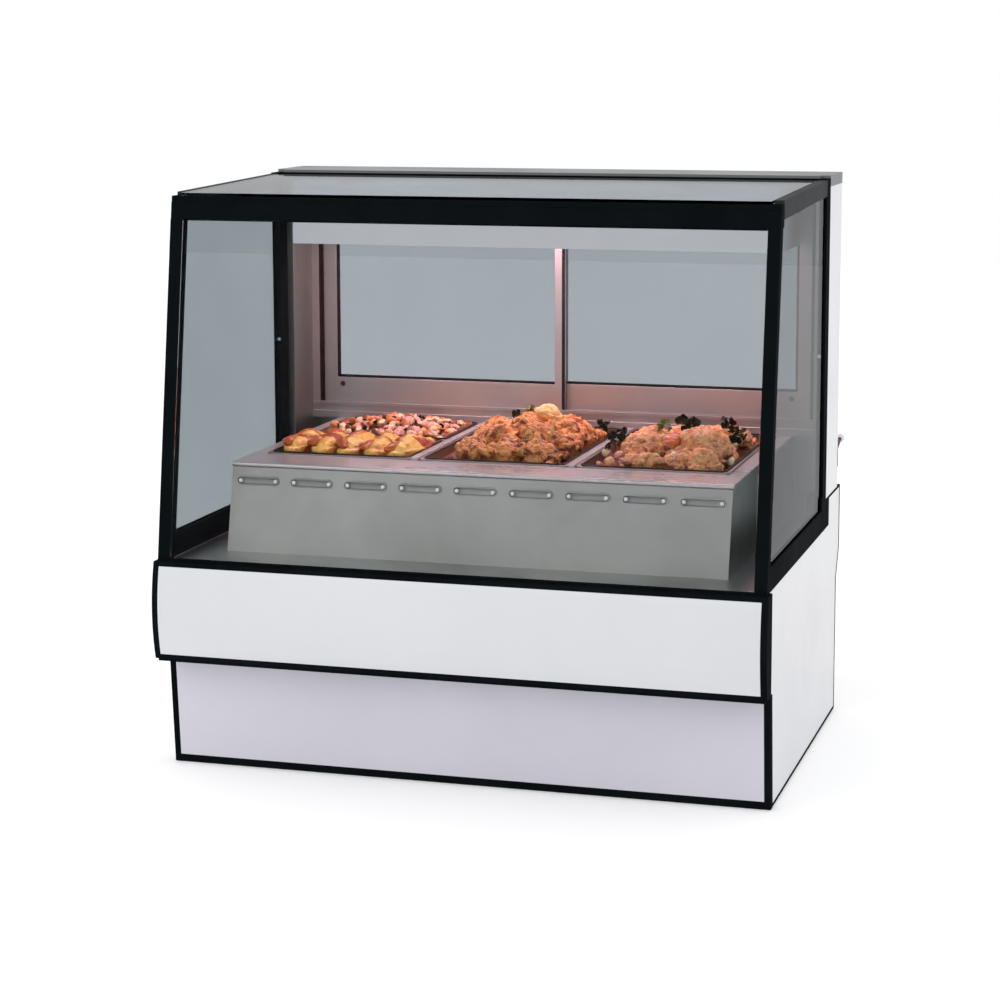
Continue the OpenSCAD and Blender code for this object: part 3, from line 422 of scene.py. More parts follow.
glassLooks = {
    "frontGlass": {"colour": (0.80, 0.82, 0.83), "shade": (0.78, 0.80, 0.81), "through": (0.9, 0.91, 0.92),
                   "haze": 0.02, "wipe": 2.2, "ior": 1.1},
    "sideGlass": {"colour": (0.345, 0.385, 0.405), "shade": (0.32, 0.36, 0.38), "through": (0.82, 0.84, 0.86),
                  "haze": 0.03, "wipe": 2.6, "ior": 1.05},
    "doorGlass": {"colour": (0.42, 0.45, 0.48), "shade": (0.405, 0.435, 0.465), "through": (0.82, 0.84, 0.86),
                  "haze": 0.02, "wipe": 3.1, "ior": 1.15},
    "roofGlass": {"colour": (0.21, 0.27, 0.33), "shade": (0.14, 0.20, 0.25), "through": (0.8, 0.84, 0.87),
                  "haze": 0.1, "wipe": 3.4, "ior": 1.04},
}

foodLooks = {
    "goldenCrust": {"pale": (0.84, 0.42, 0.14), "middle": (0.68, 0.23, 0.055), "dark": (0.24, 0.04, 0.012),
                    "darkShare": 0.6, "scale": 60.0, "rough": (0.5, 0.3), "bump": 1.0, "depth": 0.006},
    "tanCrust": {"pale": (0.86, 0.48, 0.24), "middle": (0.74, 0.28, 0.10), "dark": (0.34, 0.07, 0.03),
                 "darkShare": 0.5, "scale": 64.0, "rough": (0.5, 0.32), "bump": 1.0, "depth": 0.006},
    "yellowCheese": {"pale": (0.84, 0.56, 0.11), "middle": (0.76, 0.40, 0.06), "dark": (0.36, 0.055, 0.012),
                     "darkShare": 0.62, "scale": 26.0, "rough": (0.42, 0.22), "bump": 0.5},
    "redSauce": {"pale": (0.55, 0.14, 0.02), "middle": (0.42, 0.075, 0.01), "dark": (0.15, 0.02, 0.006),
                 "darkShare": 0.45, "scale": 40.0, "rough": (0.28, 0.18), "bump": 0.5},
    "creamPiece": {"pale": (0.84, 0.68, 0.46), "middle": (0.76, 0.50, 0.29), "dark": (0.45, 0.18, 0.08),
                   "darkShare": 0.35, "scale": 70.0, "rough": (0.45, 0.3)},
    "pinkPiece": {"pale": (0.76, 0.44, 0.36), "middle": (0.62, 0.25, 0.19), "dark": (0.36, 0.08, 0.055),
                  "darkShare": 0.4, "scale": 70.0, "rough": (0.42, 0.28)},
    "orangePiece": {"pale": (0.74, 0.32, 0.08), "middle": (0.56, 0.16, 0.035), "dark": (0.28, 0.05, 0.016),
                    "darkShare": 0.45, "scale": 70.0, "rough": (0.42, 0.28)},
    "brownPiece": {"pale": (0.26, 0.09, 0.04), "middle": (0.16, 0.045, 0.02), "dark": (0.06, 0.015, 0.008),
                   "darkShare": 0.5, "scale": 60.0, "rough": (0.4, 0.25)},
    "darkLeaf": {"pale": (0.018, 0.028, 0.008), "middle": (0.009, 0.014, 0.005), "dark": (0.004, 0.006, 0.003),
                 "darkShare": 0.5, "scale": 90.0, "rough": (0.5, 0.4), "soft": 0.0, "gloss": 0.1},
    "freshLeaf": {"pale": (0.20, 0.24, 0.04), "middle": (0.10, 0.14, 0.025), "dark": (0.03, 0.045, 0.01),
                  "darkShare": 0.4, "scale": 90.0, "rough": (0.45, 0.35), "soft": 0.0, "gloss": 0.3},
    "palePotato": {"pale": (0.86, 0.66, 0.32), "middle": (0.80, 0.52, 0.20), "dark": (0.55, 0.26, 0.08),
                   "darkShare": 0.3, "scale": 50.0, "rough": (0.45, 0.3)},
}

finishes = {name: plainFinish(name, look) for name, look in solidLooks.items()}
finishes.update({name: paneGlass(name, look) for name, look in glassLooks.items()})
finishes.update({name: cookedFinish(name, look) for name, look in foodLooks.items()})
finishes["lampGlow"] = glowingTube("lampGlow", {
    "colour": (1.0, 0.52, 0.50), "shade": (1.0, 0.62, 0.60), "strength": 12.0})
print("materials made:", len(finishes))


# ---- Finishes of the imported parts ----

nodeFinish = {
    "laminate": ["side_panel_left", "side_panel_right", "upper_front_panel", "end_panels"],
    # The lower front panel's darker laminate is painted shade
    "laminatePaintedShade": ["lower_front_panel"],
    "blackTrim": ["side_trims", "lower_front_trim", "upper_front_trim", "hinge_blocks", "corner_blocks",
                  "door_left_pull", "door_right_pull", "lever_bracket"],
    "blackAnodised": ["front_header", "front_stiles", "front_glass_rail", "side_channels", "rear_posts"],
    # The side top rails' lighter grey is painted sheen
    "anodisedPaintedSheen": ["side_top_rails"],
    # The well top's pink, lighter tone is painted heat-lamp light
    "topSteelPaintedLampLight": ["well_top", "divider_bars"],
    "deckSteel": ["deck"],
    "steel": ["well_housing", "rear_access_panel", "control_housing", "end_liners", "bottom_pan"],
    "innerSteel": ["well_tanks"],
    "trackAluminium": ["door_surround", "door_left_frame", "door_right_frame"],
    "panSteel": ["pan_left_front", "pan_left_rear", "pan_middle", "pan_right"],
    "frontGlass": ["front_glass"],
    "sideGlass": ["side_glass_left", "side_glass_right"],
    "doorGlass": ["door_left_glass", "door_right_glass"],
    "roofGlass": ["top_panel"],
    "hoodPaint": ["lamp_hood"],
    "canopyPaint": ["rear_canopy"],
    "framePaint": ["base_frame"],
    "panelGrey": ["control_panel"],
    "lampGlow": ["heat_lamps"],
    "ceramic": ["lamp_sockets"],
    "brass": ["drain_pipe"],
    "redPlastic": ["drain_handle", "indicator_lamps"],
    "knobPlastic": ["knob_left", "knob_middle", "knob_right", "lamp_switch", "light_switch", "power_gland"],
    "heaterSheath": ["heating_elements"],
    "insulation": ["well_insulation"],
    "screwSteel": ["fasteners"],
    "leverSteel": ["rear_lever"],
}

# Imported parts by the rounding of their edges, in millimetres
softEdges = {
    0.4: ["deck", "control_panel"],
    0.5: ["upper_front_panel", "end_liners", "control_housing", "top_panel", "front_glass",
          "side_glass_left", "side_glass_right"],
    0.6: ["side_panel_left", "side_panel_right", "lower_front_panel", "lever_bracket", "hinge_blocks",
          "base_frame"],
    0.8: ["rear_canopy", "lamp_hood", "door_surround", "door_left_frame", "door_right_frame",
          "side_channels", "side_top_rails", "drain_handle", "knob_left", "knob_middle", "knob_right"],
    1.0: ["rear_posts", "end_panels", "lamp_sockets", "lamp_switch", "light_switch"],
    1.2: ["side_trims", "upper_front_trim", "front_stiles", "front_header"],
    1.5: ["lower_front_trim", "corner_blocks", "divider_bars"],
}


def finishPackedParts():
    for finish, names in nodeFinish.items():
        for name in names:
            for holder in nodes[name].material_slots:
                holder.material = finishes[finish]
    for width, names in softEdges.items():
        for name in names:
            weld = nodes[name].modifiers.new("weld", "WELD")
            weld.merge_threshold = 0.01 * mm
            bevel = nodes[name].modifiers.new("softEdge", "BEVEL")
            bevel.width = width * mm
            bevel.segments = 2
            bevel.limit_method = "ANGLE"
            bevel.angle_limit = math.radians(40)
            bevel.harden_normals = True


finishPackedParts()
print("packed parts finished")


# ---- Modelling helpers ----

def deselectAll():
    for thing in list(bpy.context.selected_objects):
        thing.select_set(False)


def selectOnly(*things):
    deselectAll()
    for thing in things:
        thing.select_set(True)
    bpy.context.view_layer.objects.active = things[0]


def settle(piece):
    # Writes the piece's place, turn and scale into its mesh
    selectOnly(piece)
    bpy.ops.object.transform_apply(location=True, rotation=True, scale=True)


def startBlock(low, high):
    # A block between two corners, open for edge work
    deselectAll()
    bpy.ops.mesh.primitive_cube_add(size=1, location=(Vector(low) + Vector(high)) / 2)
    piece = bpy.context.active_object
    piece.scale = Vector(high) - Vector(low)
    settle(piece)
    return piece


def isUpright(edge):
    return abs(edge.verts[0].co.z - edge.verts[1].co.z) > 1 * mm


def pick(piece, kind, test):
    # Leaves only the vertices, edges or faces that pass the test selected
    bpy.ops.object.mode_set(mode="EDIT")
    bpy.ops.mesh.select_mode(type=kind)
    bpy.ops.mesh.select_all(action="DESELECT")
    shape = bmesh.from_edit_mesh(piece.data)
    parts = {"VERT": shape.verts, "EDGE": shape.edges, "FACE": shape.faces}[kind]
    for part in parts:
        if test(part):
            part.select_set(True)
    shape.select_flush_mode()
    bmesh.update_edit_mesh(piece.data)


def leaveEdit():
    bpy.ops.object.mode_set(mode="OBJECT")


def applyModifiers(piece):
    selectOnly(piece)
    for modifier in list(piece.modifiers):
        bpy.ops.object.modifier_apply(modifier=modifier.name)


def thicken(piece, width, side):
    # Gives an open shell a wall; side is 1 outwards, -1 inwards, 0 to both sides
    wall = piece.modifiers.new("wall", "SOLIDIFY")
    wall.thickness = width
    wall.offset = side
    applyModifiers(piece)


def bevelEdges(piece, width, segments=2):
    bevel = piece.modifiers.new("bevel", "BEVEL")
    bevel.width = width
    bevel.segments = segments
    bevel.limit_method = "ANGLE"
    bevel.angle_limit = math.radians(35)
    applyModifiers(piece)


def finishPiece(piece, name, body, finish=None, angle=40):
    # Names the piece, gives it its finish and sets it on its body
    settle(piece)
    bpy.ops.object.shade_smooth_by_angle(angle=math.radians(angle))
    piece.name = name
    piece.data.name = name
    if finish:
        piece.data.materials.clear()
        piece.data.materials.append(finishes[finish])
    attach(piece, body)
    deselectAll()


def copyOf(piece):
    made = piece.copy()
    made.data = piece.data.copy()
    scene.collection.objects.link(made)
    return made


def joinAll(pieces):
    selectOnly(*pieces)
    bpy.ops.object.join()
    return bpy.context.active_object


# ---- Door seals and screws ----

sealPlan = {"width": 5 * mm, "sunk": 1.5 * mm, "hidden": 6 * mm, "round": 0.6 * mm}
lapPlan = {
    "width": 7 * mm, "stile": 24 * mm, "proud": 0.5 * mm, "back": 1 * mm, "ends": 4 * mm, "round": 0.2 * mm}
brushPlan = {
    "gap": 10 * mm, "air": 0.4 * mm, "front": 5 * mm, "back": 3 * mm, "ends": 20 * mm, "groove": 1.2 * mm}
doorScrewPlan = {
    "radius": 6 * mm, "height": 1.6 * mm, "fromSide": 45 * mm, "fromFoot": 62 * mm, "fromTop": 29 * mm}


def addDoorSeal(side, plan):
    # A dark rubber edge round the glass; the member at the lap runs inside the stile
    frameLow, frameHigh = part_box(f"door_{side}_frame")
    glassLow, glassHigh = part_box(f"door_{side}_glass")
    hidden = plan["hidden"]
    lap = hidden - 2 * plan["width"]
    lapLow, lapHigh = (hidden, lap) if side == "left" else (lap, hidden)
    low = Vector((glassLow.x + lapLow, frameLow.y + plan["sunk"], glassLow.z + hidden))
    high = Vector((glassHigh.x - lapHigh, frameHigh.y - plan["sunk"], glassHigh.z - hidden))
    piece = startBlock(low, high)
    pick(piece, "FACE", lambda face: abs(face.normal.y) > 0.9)
    bpy.ops.mesh.inset(thickness=plan["width"], depth=0)
    bpy.ops.mesh.bridge_edge_loops()
    leaveEdit()
    bevelEdges(piece, plan["round"])
    finishPiece(piece, f"doorSeal_{side}", f"door_{side}", "sealRubber")


def addLapStrip(side, plan):
    # The dark strip up the right edge of a door's inner stile, where the doors lap
    low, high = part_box(f"door_{side}_frame")
    edge = high.x if side == "left" else low.x + plan["stile"]
    piece = startBlock((edge - plan["width"], low.y - plan["proud"], low.z + plan["ends"]),
                       (edge, low.y + plan["back"], high.z - plan["ends"]))
    pick(piece, "FACE", lambda face: face.normal.y < -0.9)
    bpy.ops.mesh.inset(thickness=plan["width"] * 0.3, depth=-plan["proud"] * 0.4)
    leaveEdit()
    bevelEdges(piece, plan["round"])
    finishPiece(piece, f"lapStrip_{side}", f"door_{side}", "sealRubber")


def addJambBrush(side, plan):
    # The brush that closes the gap between a jamb and its door
    sign = -1 if side == "left" else 1
    low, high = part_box(f"door_{side}_frame")
    surroundLow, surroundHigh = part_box("door_surround")
    edge = low.x if side == "left" else high.x
    near, far = edge + sign * plan["air"], edge + sign * plan["gap"]
    front, back = surroundLow.y + plan["front"], surroundHigh.y - plan["back"]
    piece = startBlock((min(near, far), front, low.z + plan["ends"]),
                       (max(near, far), back, high.z - plan["ends"]))
    pick(piece, "FACE", lambda face: face.normal.y < -0.9)
    bpy.ops.mesh.inset(thickness=plan["groove"], depth=0)
    bpy.ops.mesh.inset(thickness=plan["groove"] * 0.5, depth=-plan["groove"])
    leaveEdit()
    bevelEdges(piece, plan["groove"] * 0.2)
    finishPiece(piece, f"jambBrush_{side}", "case", "brushSeal")


def addDoorScrews(side, plan):
    low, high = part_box(f"door_{side}_frame")
    outer = low.x + plan["fromSide"] if side == "left" else high.x - plan["fromSide"]
    made = []
    for height in (low.z + plan["fromFoot"], high.z - plan["fromTop"]):
        deselectAll()
        bpy.ops.mesh.primitive_cylinder_add(vertices=24, radius=plan["radius"], depth=plan["height"])
        head = bpy.context.active_object
        pick(head, "FACE", lambda face: face.normal.z > 0.9)
        bpy.ops.mesh.inset(thickness=plan["radius"] * 0.45, depth=0)
        bpy.ops.mesh.inset(thickness=plan["radius"] * 0.12, depth=-plan["height"] * 0.5)
        leaveEdit()
        head.rotation_euler = (math.radians(90), 0, 0)
        head.location = (outer, low.y - plan["height"] * 0.4, height)
        made.append(head)
    piece = joinAll(made)
    bevelEdges(piece, plan["height"] * 0.2)
    finishPiece(piece, f"doorScrews_{side}", f"door_{side}", "brownScrew")


for doorSide in ("left", "right"):
    addDoorSeal(doorSide, sealPlan)
    addDoorScrews(doorSide, doorScrewPlan)
    addJambBrush(doorSide, brushPlan)
    addLapStrip(doorSide, lapPlan)
print("door seals and screws made")


# ---- Pan rims ----

rimPlan = {
    "width": 5 * mm, "height": 3.5 * mm, "mouth": 12 * mm, "sunk": 0.5 * mm, "round": 1.4 * mm,
    "corner": 16 * mm}


def addPanRim(node, plan):
    # The rolled bead round a pan's mouth, near black: painted shade of the pan's inner rim
    low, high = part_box(node)
    edge = plan["mouth"] - plan["width"]
    floor = high.z - plan["sunk"]
    piece = startBlock((low.x + edge, low.y + edge, floor),
                       (high.x - edge, high.y - edge, floor + plan["height"]))
    pick(piece, "EDGE", isUpright)
    bpy.ops.mesh.bevel(offset=plan["corner"], segments=6, affect="EDGES")
    leaveEdit()
    pick(piece, "FACE", lambda face: abs(face.normal.z) > 0.9)
    bpy.ops.mesh.inset(thickness=plan["width"], depth=0)
    bpy.ops.mesh.bridge_edge_loops()
    leaveEdit()
    bevelEdges(piece, plan["round"], 3)
    finishPiece(piece, "panRimPaintedShade" + node[3:], node, "panRimPaintedShade")


for panName in ("pan_left_front", "pan_left_rear", "pan_middle", "pan_right"):
    addPanRim(panName, rimPlan)
print("pan rims made")


# ---- Scoops behind the air slots ----

scoopPlan = {
    "count": 9, "pitch": 119 * mm, "width": 90 * mm, "height": 15 * mm, "below": 38 * mm, "wall": 0.6 * mm,
    "nose": 10 * mm, "sheet": 2 * mm, "back": 1 * mm, "flat": 0.45, "highlightDot": 4.7 * mm}


def startScoop(plan):
    # A round-ended pocket: half a ball drawn out sideways, pressed flat and turned inside out
    radius = plan["height"] / 2
    reach = plan["width"] / 2 - radius
    deselectAll()
    bpy.ops.mesh.primitive_uv_sphere_add(segments=32, ring_count=16, radius=radius - plan["wall"])
    pocket = bpy.context.active_object
    for side in (-1, 1):
        pick(pocket, "VERT", lambda v: v.co.x * side > 0.1 * mm)
        bpy.ops.transform.translate(value=(side * reach, 0, 0))
        leaveEdit()
    pick(pocket, "VERT", lambda v: True)
    bpy.ops.mesh.bisect(plane_co=(0, 0, 0), plane_no=(0, 1, 0), clear_inner=True)
    bpy.ops.mesh.select_all(action="SELECT")
    bpy.ops.transform.resize(value=(1, plan["flat"], 1))
    bpy.ops.mesh.flip_normals()
    leaveEdit()
    thicken(pocket, plan["wall"], -1)
    # The pocket's darker steel is painted shade in the recess
    pocket.data.materials.append(finishes["scoopPaintedShade"])
    made = [pocket]
    # White half-domes at both ends of each pocket: painted highlights where the pocket's round ends catch the
    # light
    for side in (-1, 1):
        deselectAll()
        bpy.ops.mesh.primitive_uv_sphere_add(segments=20, ring_count=12, radius=plan["highlightDot"])
        highlightDot = bpy.context.active_object
        pick(highlightDot, "VERT", lambda v: v.co.y > -plan["highlightDot"] * 0.2)
        bpy.ops.transform.resize(value=(0.7, 0.3, 0.7))
        leaveEdit()
        highlightDot.data.materials.append(finishes["paintedHighlightWhite"])
        highlightDot.location = (side * (reach + plan["highlightDot"] * 0.3), 0, 0)
        made.append(highlightDot)
    return joinAll(made)


def addAirScoops(plan):
    # Shallow pressed pockets, one behind each slot, leaning with the front
    low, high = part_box("well_housing")
    topLow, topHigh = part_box("well_top")
    lean = math.atan2(topLow.y + plan["sheet"] - low.y, topHigh.z - plan["nose"] - low.z)
    height = topHigh.z - plan["below"]
    depth = low.y + (height - low.z) * math.tan(lean) - plan["back"]
    first = startScoop(plan)
    first.rotation_euler = (-lean, 0, 0)
    made = []
    for number in range(plan["count"]):
        scoop = copyOf(first) if number else first
        scoop.location = ((number - (plan["count"] - 1) / 2) * plan["pitch"], depth, height)
        made.append(scoop)
    finishPiece(joinAll(made), "airScoops", "case", None, 60)


addAirScoops(scoopPlan)
print("air scoops made")


# ---- Lever ball ----

ballPlan = {"radius": 9 * mm, "skin": 0.4 * mm, "collar": 8 * mm}


def addLeverBall(plan):
    # A light plastic cap over the ball end, open towards the stem
    low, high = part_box("rear_lever")
    centre = Vector(((low.x + high.x) / 2, high.y - plan["radius"], high.z - plan["radius"]))
    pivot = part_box("lever_bracket")[1]
    deselectAll()
    bpy.ops.mesh.primitive_uv_sphere_add(segments=32, ring_count=20, radius=plan["radius"])
    piece = bpy.context.active_object
    pick(piece, "VERT", lambda v: True)
    bpy.ops.mesh.bisect(plane_co=(0, 0, -plan["collar"]), plane_no=(0, 0, 1), clear_inner=True, use_fill=False)
    leaveEdit()
    thicken(piece, plan["skin"], 1)
    piece.rotation_euler = (-math.atan2(centre.y - pivot.y, centre.z - (high.z + low.z) / 2), 0, 0)
    piece.location = centre - Vector((0, plan["skin"], 0))
    finishPiece(piece, "leverBall", "rear_lever", "leverBall", 60)


addLeverBall(ballPlan)
print("lever ball made")


# ---- Control marks ----

dialPlan = {
    "ticks": 11, "ring": 25 * mm, "length": 4 * mm, "width": 1 * mm, "thick": 0.4 * mm, "sweep": 300,
    "recess": 2 * mm, "pointerWidth": 2 * mm, "pointerTop": 1.5 * mm, "pointerFoot": 9 * mm,
    "pointerSunk": 0.2 * mm, "pointerProud": 0.3 * mm}


def addPointer(name, plan):
    # The white line on a knob's face
    low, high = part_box(name)
    middle, half = (low.x + high.x) / 2, plan["pointerWidth"] / 2
    pointer = startBlock((middle - half, high.y - plan["pointerSunk"], high.z - plan["pointerFoot"]),
                         (middle + half, high.y + plan["pointerProud"], high.z - plan["pointerTop"]))
    bevelEdges(pointer, 0.2 * mm)
    finishPiece(pointer, "pointer_" + name[5:], name, "dialWhite")


def addDialMarks(plan):
    # A ring of ticks round each knob
    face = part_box("control_panel")[1].y - plan["recess"]
    made = []
    for name in ("knob_left", "knob_middle", "knob_right"):
        knobLow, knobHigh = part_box(name)
        centre = (knobLow + knobHigh) / 2
        for number in range(plan["ticks"]):
            angle = math.radians(plan["sweep"] * (number / (plan["ticks"] - 1) - 0.5))
            tick = startBlock((-plan["width"] / 2, 0, 0), (plan["width"] / 2, plan["thick"], plan["length"]))
            pick(tick, "FACE", lambda part: part.normal.y > 0.9)
            bpy.ops.mesh.inset(thickness=plan["width"] * 0.2, depth=0)
            leaveEdit()
            tick.rotation_euler = (0, angle, 0)
            tick.location = (centre.x + math.sin(angle) * plan["ring"], face,
                             centre.z + math.cos(angle) * plan["ring"])
            made.append(tick)
        addPointer(name, plan)
    finishPiece(joinAll(made), "dialMarks", "case", "dialWhite")


addDialMarks(dialPlan)
print("control marks made")


# ---- Food ----

def addTexture(name, kind, size):
    made = bpy.data.textures.new(name, kind)
    made.noise_scale = size
    return made


coarseBumps = addTexture("coarseBumps", "CLOUDS", 0.035)
fineBumps = addTexture("fineBumps", "CLOUDS", 0.011)


def roughen(piece, coarse, fine):
    for texture, strength in ((coarseBumps, coarse), (fineBumps, fine)):
        if strength:
            push = piece.modifiers.new("push", "DISPLACE")
            push.texture = texture
            push.texture_coords = "GLOBAL"
            push.strength = strength
            push.mid_level = 0.5
    applyModifiers(piece)


def startLump(place, size, turn, finish, detail=4):
    # A rounded lump, pinched off centre
    deselectAll()
    bpy.ops.mesh.primitive_ico_sphere_add(subdivisions=detail, radius=1)
    piece = bpy.context.active_object
    pick(piece, "VERT", lambda v: v.co.z > 0.3)
    bpy.ops.transform.resize(value=(0.86, 0.86, 1.05))
    leaveEdit()
    pick(piece, "VERT", lambda v: v.co.x > 0.4)
    bpy.ops.transform.translate(value=(0.05, 0.08, -0.08))
    leaveEdit()
    piece.scale = size
    piece.rotation_euler = turn
    piece.location = place
    settle(piece)
    piece.data.materials.append(finishes[finish])
    return piece


def startCrumb(finish):
    return startLump((0, 0, 0), (1, 1, 0.8), (0, 0, 0), finish, 3)


def startLeaf(finish):
    # A small crinkled leaf with a folded middle
    deselectAll()
    bpy.ops.mesh.primitive_grid_add(x_subdivisions=6, y_subdivisions=5, size=1)
    piece = bpy.context.active_object
    pick(piece, "VERT", lambda v: abs(v.co.y) > 0.3)
    bpy.ops.transform.translate(value=(0, 0, 0.22))
    leaveEdit()
    pick(piece, "VERT", lambda v: abs(v.co.x) > 0.4)
    bpy.ops.transform.resize(value=(1.0, 0.45, 1.0))
    leaveEdit()
    pick(piece, "VERT", lambda v: True)
    bpy.ops.transform.vertex_random(offset=0.07, seed=3)
    leaveEdit()
    thicken(piece, 0.05, -1)
    piece.data.materials.append(finishes[finish])
    return piece


def scatter(first, count, area, sizes, chance, heightAt):
    # Copies of one piece strewn over a heap, each with its own mesh; the first is used up
    made = []
    tilt = 1.2
    for number in range(count):
        across = chance.uniform(area[0], area[1])
        along = chance.uniform(area[2], area[3])
        size = chance.uniform(sizes[0], sizes[1])
        piece = copyOf(first)
        piece.location = (across, along, heightAt(across, along) + size * 0.15)
        piece.scale = (size, size * chance.uniform(0.7, 1.1), size * chance.uniform(0.55, 0.9))
        turn = chance.uniform(-tilt, tilt), chance.uniform(-tilt, tilt), chance.uniform(0, 6.28)
        piece.rotation_euler = turn
        made.append(piece)
    bpy.data.objects.remove(first)
    return made


def panMouth(node):
    low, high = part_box(node)
    wall = 13 * mm
    return low.x + wall, high.x - wall, low.y + wall, high.y - wall, high.z


def startBed(node, depth, finish):
    # The bed of food that the pieces lie on: a soft-edged block, rippled on top
    x0, x1, y0, y1, rim = panMouth(node)
    piece = startBlock((x0, y0, rim - 50 * mm), (x1, y1, rim + depth))
    pick(piece, "EDGE", isUpright)
    bpy.ops.mesh.bevel(offset=14 * mm, segments=3, affect="EDGES")
    bpy.ops.mesh.select_all(action="SELECT")
    bpy.ops.mesh.subdivide(number_cuts=9)
    leaveEdit()
    roughen(piece, 9 * mm, 4 * mm)
    piece.data.materials.append(finishes[finish])
    return piece


def heapShape(node, rise, lean=(0, 0)):
    # Height of a rounded heap over a pan's mouth
    x0, x1, y0, y1, rim = panMouth(node)
    middleX, middleY = (x0 + x1) / 2 + lean[0], (y0 + y1) / 2 + lean[1]
    halfX, halfY = (x1 - x0) / 2, (y1 - y0) / 2

    def heightAt(x, y):
        share = min(1.0, ((x - middleX) / halfX) ** 2 * 0.8 + ((y - middleY) / halfY) ** 2 * 0.8)
        return rim - 6 * mm + rise * (1 - share)
    return heightAt


rollPlan = {"count": 5, "rise": 16 * mm, "length": 108 * mm, "width": 33 * mm, "height": 24 * mm}


def fillLeftFront(plan):
    # Sauced rolls side by side, running front to back
    x0, x1, y0, y1, rim = panMouth("pan_left_front")
    chance = random.Random(11)
    made = [startBed("pan_left_front", -8 * mm, "redSauce")]
    step = (x1 - x0) / plan["count"]
    for number in range(plan["count"]):
        place = (x0 + step * (number + 0.5), (y0 + y1) / 2 - 4 * mm, rim + plan["rise"] * 0.1)
        roll = startLump(place, (plan["width"], plan["length"], plan["height"]),
                         (0.0, 0.0, chance.uniform(-0.06, 0.06)), "yellowCheese", 5)
        roughen(roll, 12 * mm, 5 * mm)
        made.append(roll)
        for share in (-0.55, 0.05, 0.6):
            spot = (place[0] - step * 0.24, place[1] + plan["length"] * (share + chance.uniform(-0.1, 0.1)),
                    rim + chance.uniform(11, 15) * mm)
            sauce = startLump(spot, (chance.uniform(14, 19) * mm, chance.uniform(26, 40) * mm, 12 * mm),
                              (0, 0.3, chance.uniform(-0.4, 0.4)), "redSauce", 4)
            roughen(sauce, 10 * mm, 4 * mm)
            made.append(sauce)
    finishPiece(joinAll(made), "foodLeftFront", "pan_left_front", None, 60)


def trimToPan(piece, node):
    # Keeps the food off the pan's wall and floor, and within its own half of the well
    x0, x1, y0, y1, rim = panMouth(node)
    for vertex in piece.data.vertices:
        co = vertex.co
        spill = 9 * mm if co.z > rim + 3 * mm else 0.0
        co.x = min(max(co.x, x0 - spill), x1 + spill)
        co.y = min(max(co.y, y0 - spill), y1 + spill)
        co.z = max(co.z, rim - 55 * mm)


mixPlan = {"cream": 70, "pink": 60, "orange": 60, "brown": 50, "leaf": 80, "rise": 24 * mm,
           "sizes": (7 * mm, 14 * mm), "leafSizes": (10 * mm, 17 * mm)}


def fillLeftRear(plan):
    # A heaped mix of small pale, pink, orange and dark pieces
    x0, x1, y0, y1, rim = panMouth("pan_left_rear")
    chance = random.Random(23)
    heap = heapShape("pan_left_rear", plan["rise"])
    area = (x0 + 8 * mm, x1 - 8 * mm, y0 + 2 * mm, y1 - 8 * mm)
    made = [startBed("pan_left_rear", 4 * mm, "brownPiece")]
    for kind, finish in (("cream", "creamPiece"), ("pink", "pinkPiece"), ("orange", "orangePiece"),
                         ("brown", "brownPiece")):
        made += scatter(startCrumb(finish), plan[kind], area, plan["sizes"], chance, heap)
    made += scatter(startLeaf("darkLeaf"), plan["leaf"], area, plan["leafSizes"], chance, heap)
    piece = joinAll(made)
    roughen(piece, 10 * mm, 7 * mm)
    trimToPan(piece, "pan_left_rear")
    finishPiece(piece, "foodLeftRear", "pan_left_rear", None, 60)


# The full-size pans, in millimetres from the middle of the mouth. A lump is its place, then its half sizes.
# A crumb row is a finish, a count and the sizes. Greens are a finish, a count, a spread, sizes and places.
middlePlan = {
    "node": "pan_middle", "name": "foodMiddle", "seed": 37, "bed": -16, "crust": "goldenCrust",
    "rise": 44, "lean": (14, -30), "margins": (40, 8, 6, 30),
    "lumps": [
        (-62, -178, 4, 40, 44, 30), (8, -190, 4, 44, 40, 30), (84, -180, 4, 44, 46, 30),
        (-30, -110, 22, 52, 46, 34), (58, -105, 24, 52, 50, 36), (112, -95, 8, 32, 48, 28),
        (-74, -70, 10, 46, 48, 32), (12, -30, 30, 56, 50, 34), (84, -10, 26, 50, 52, 34),
        (-60, 20, 18, 50, 56, 30), (20, 60, 24, 56, 50, 32), (92, 90, 14, 44, 52, 30),
        (-84, 110, 6, 44, 60, 26), (-20, 140, 10, 52, 52, 26), (60, 170, 8, 56, 46, 26)],
    "crumbs": [("goldenCrust", 70, 8, 16), ("creamPiece", 26, 6, 11), ("orangePiece", 34, 7, 13),
               ("brownPiece", 20, 6, 12)],
    "topPiece": {"finish": "palePotato", "place": (40, 40, 62), "size": (30, 24, 20), "turn": (0.2, 0.3, 0.4),
                 "coarse": 12, "fine": 6},
    "greens": [("freshLeaf", 16, 11, (8, 14), [(-5, 50, 62), (30, 85, 64)]),
               ("darkLeaf", 18, 14, (9, 15), [(-40, 80, 40), (123.5, 192, 12)])],
}
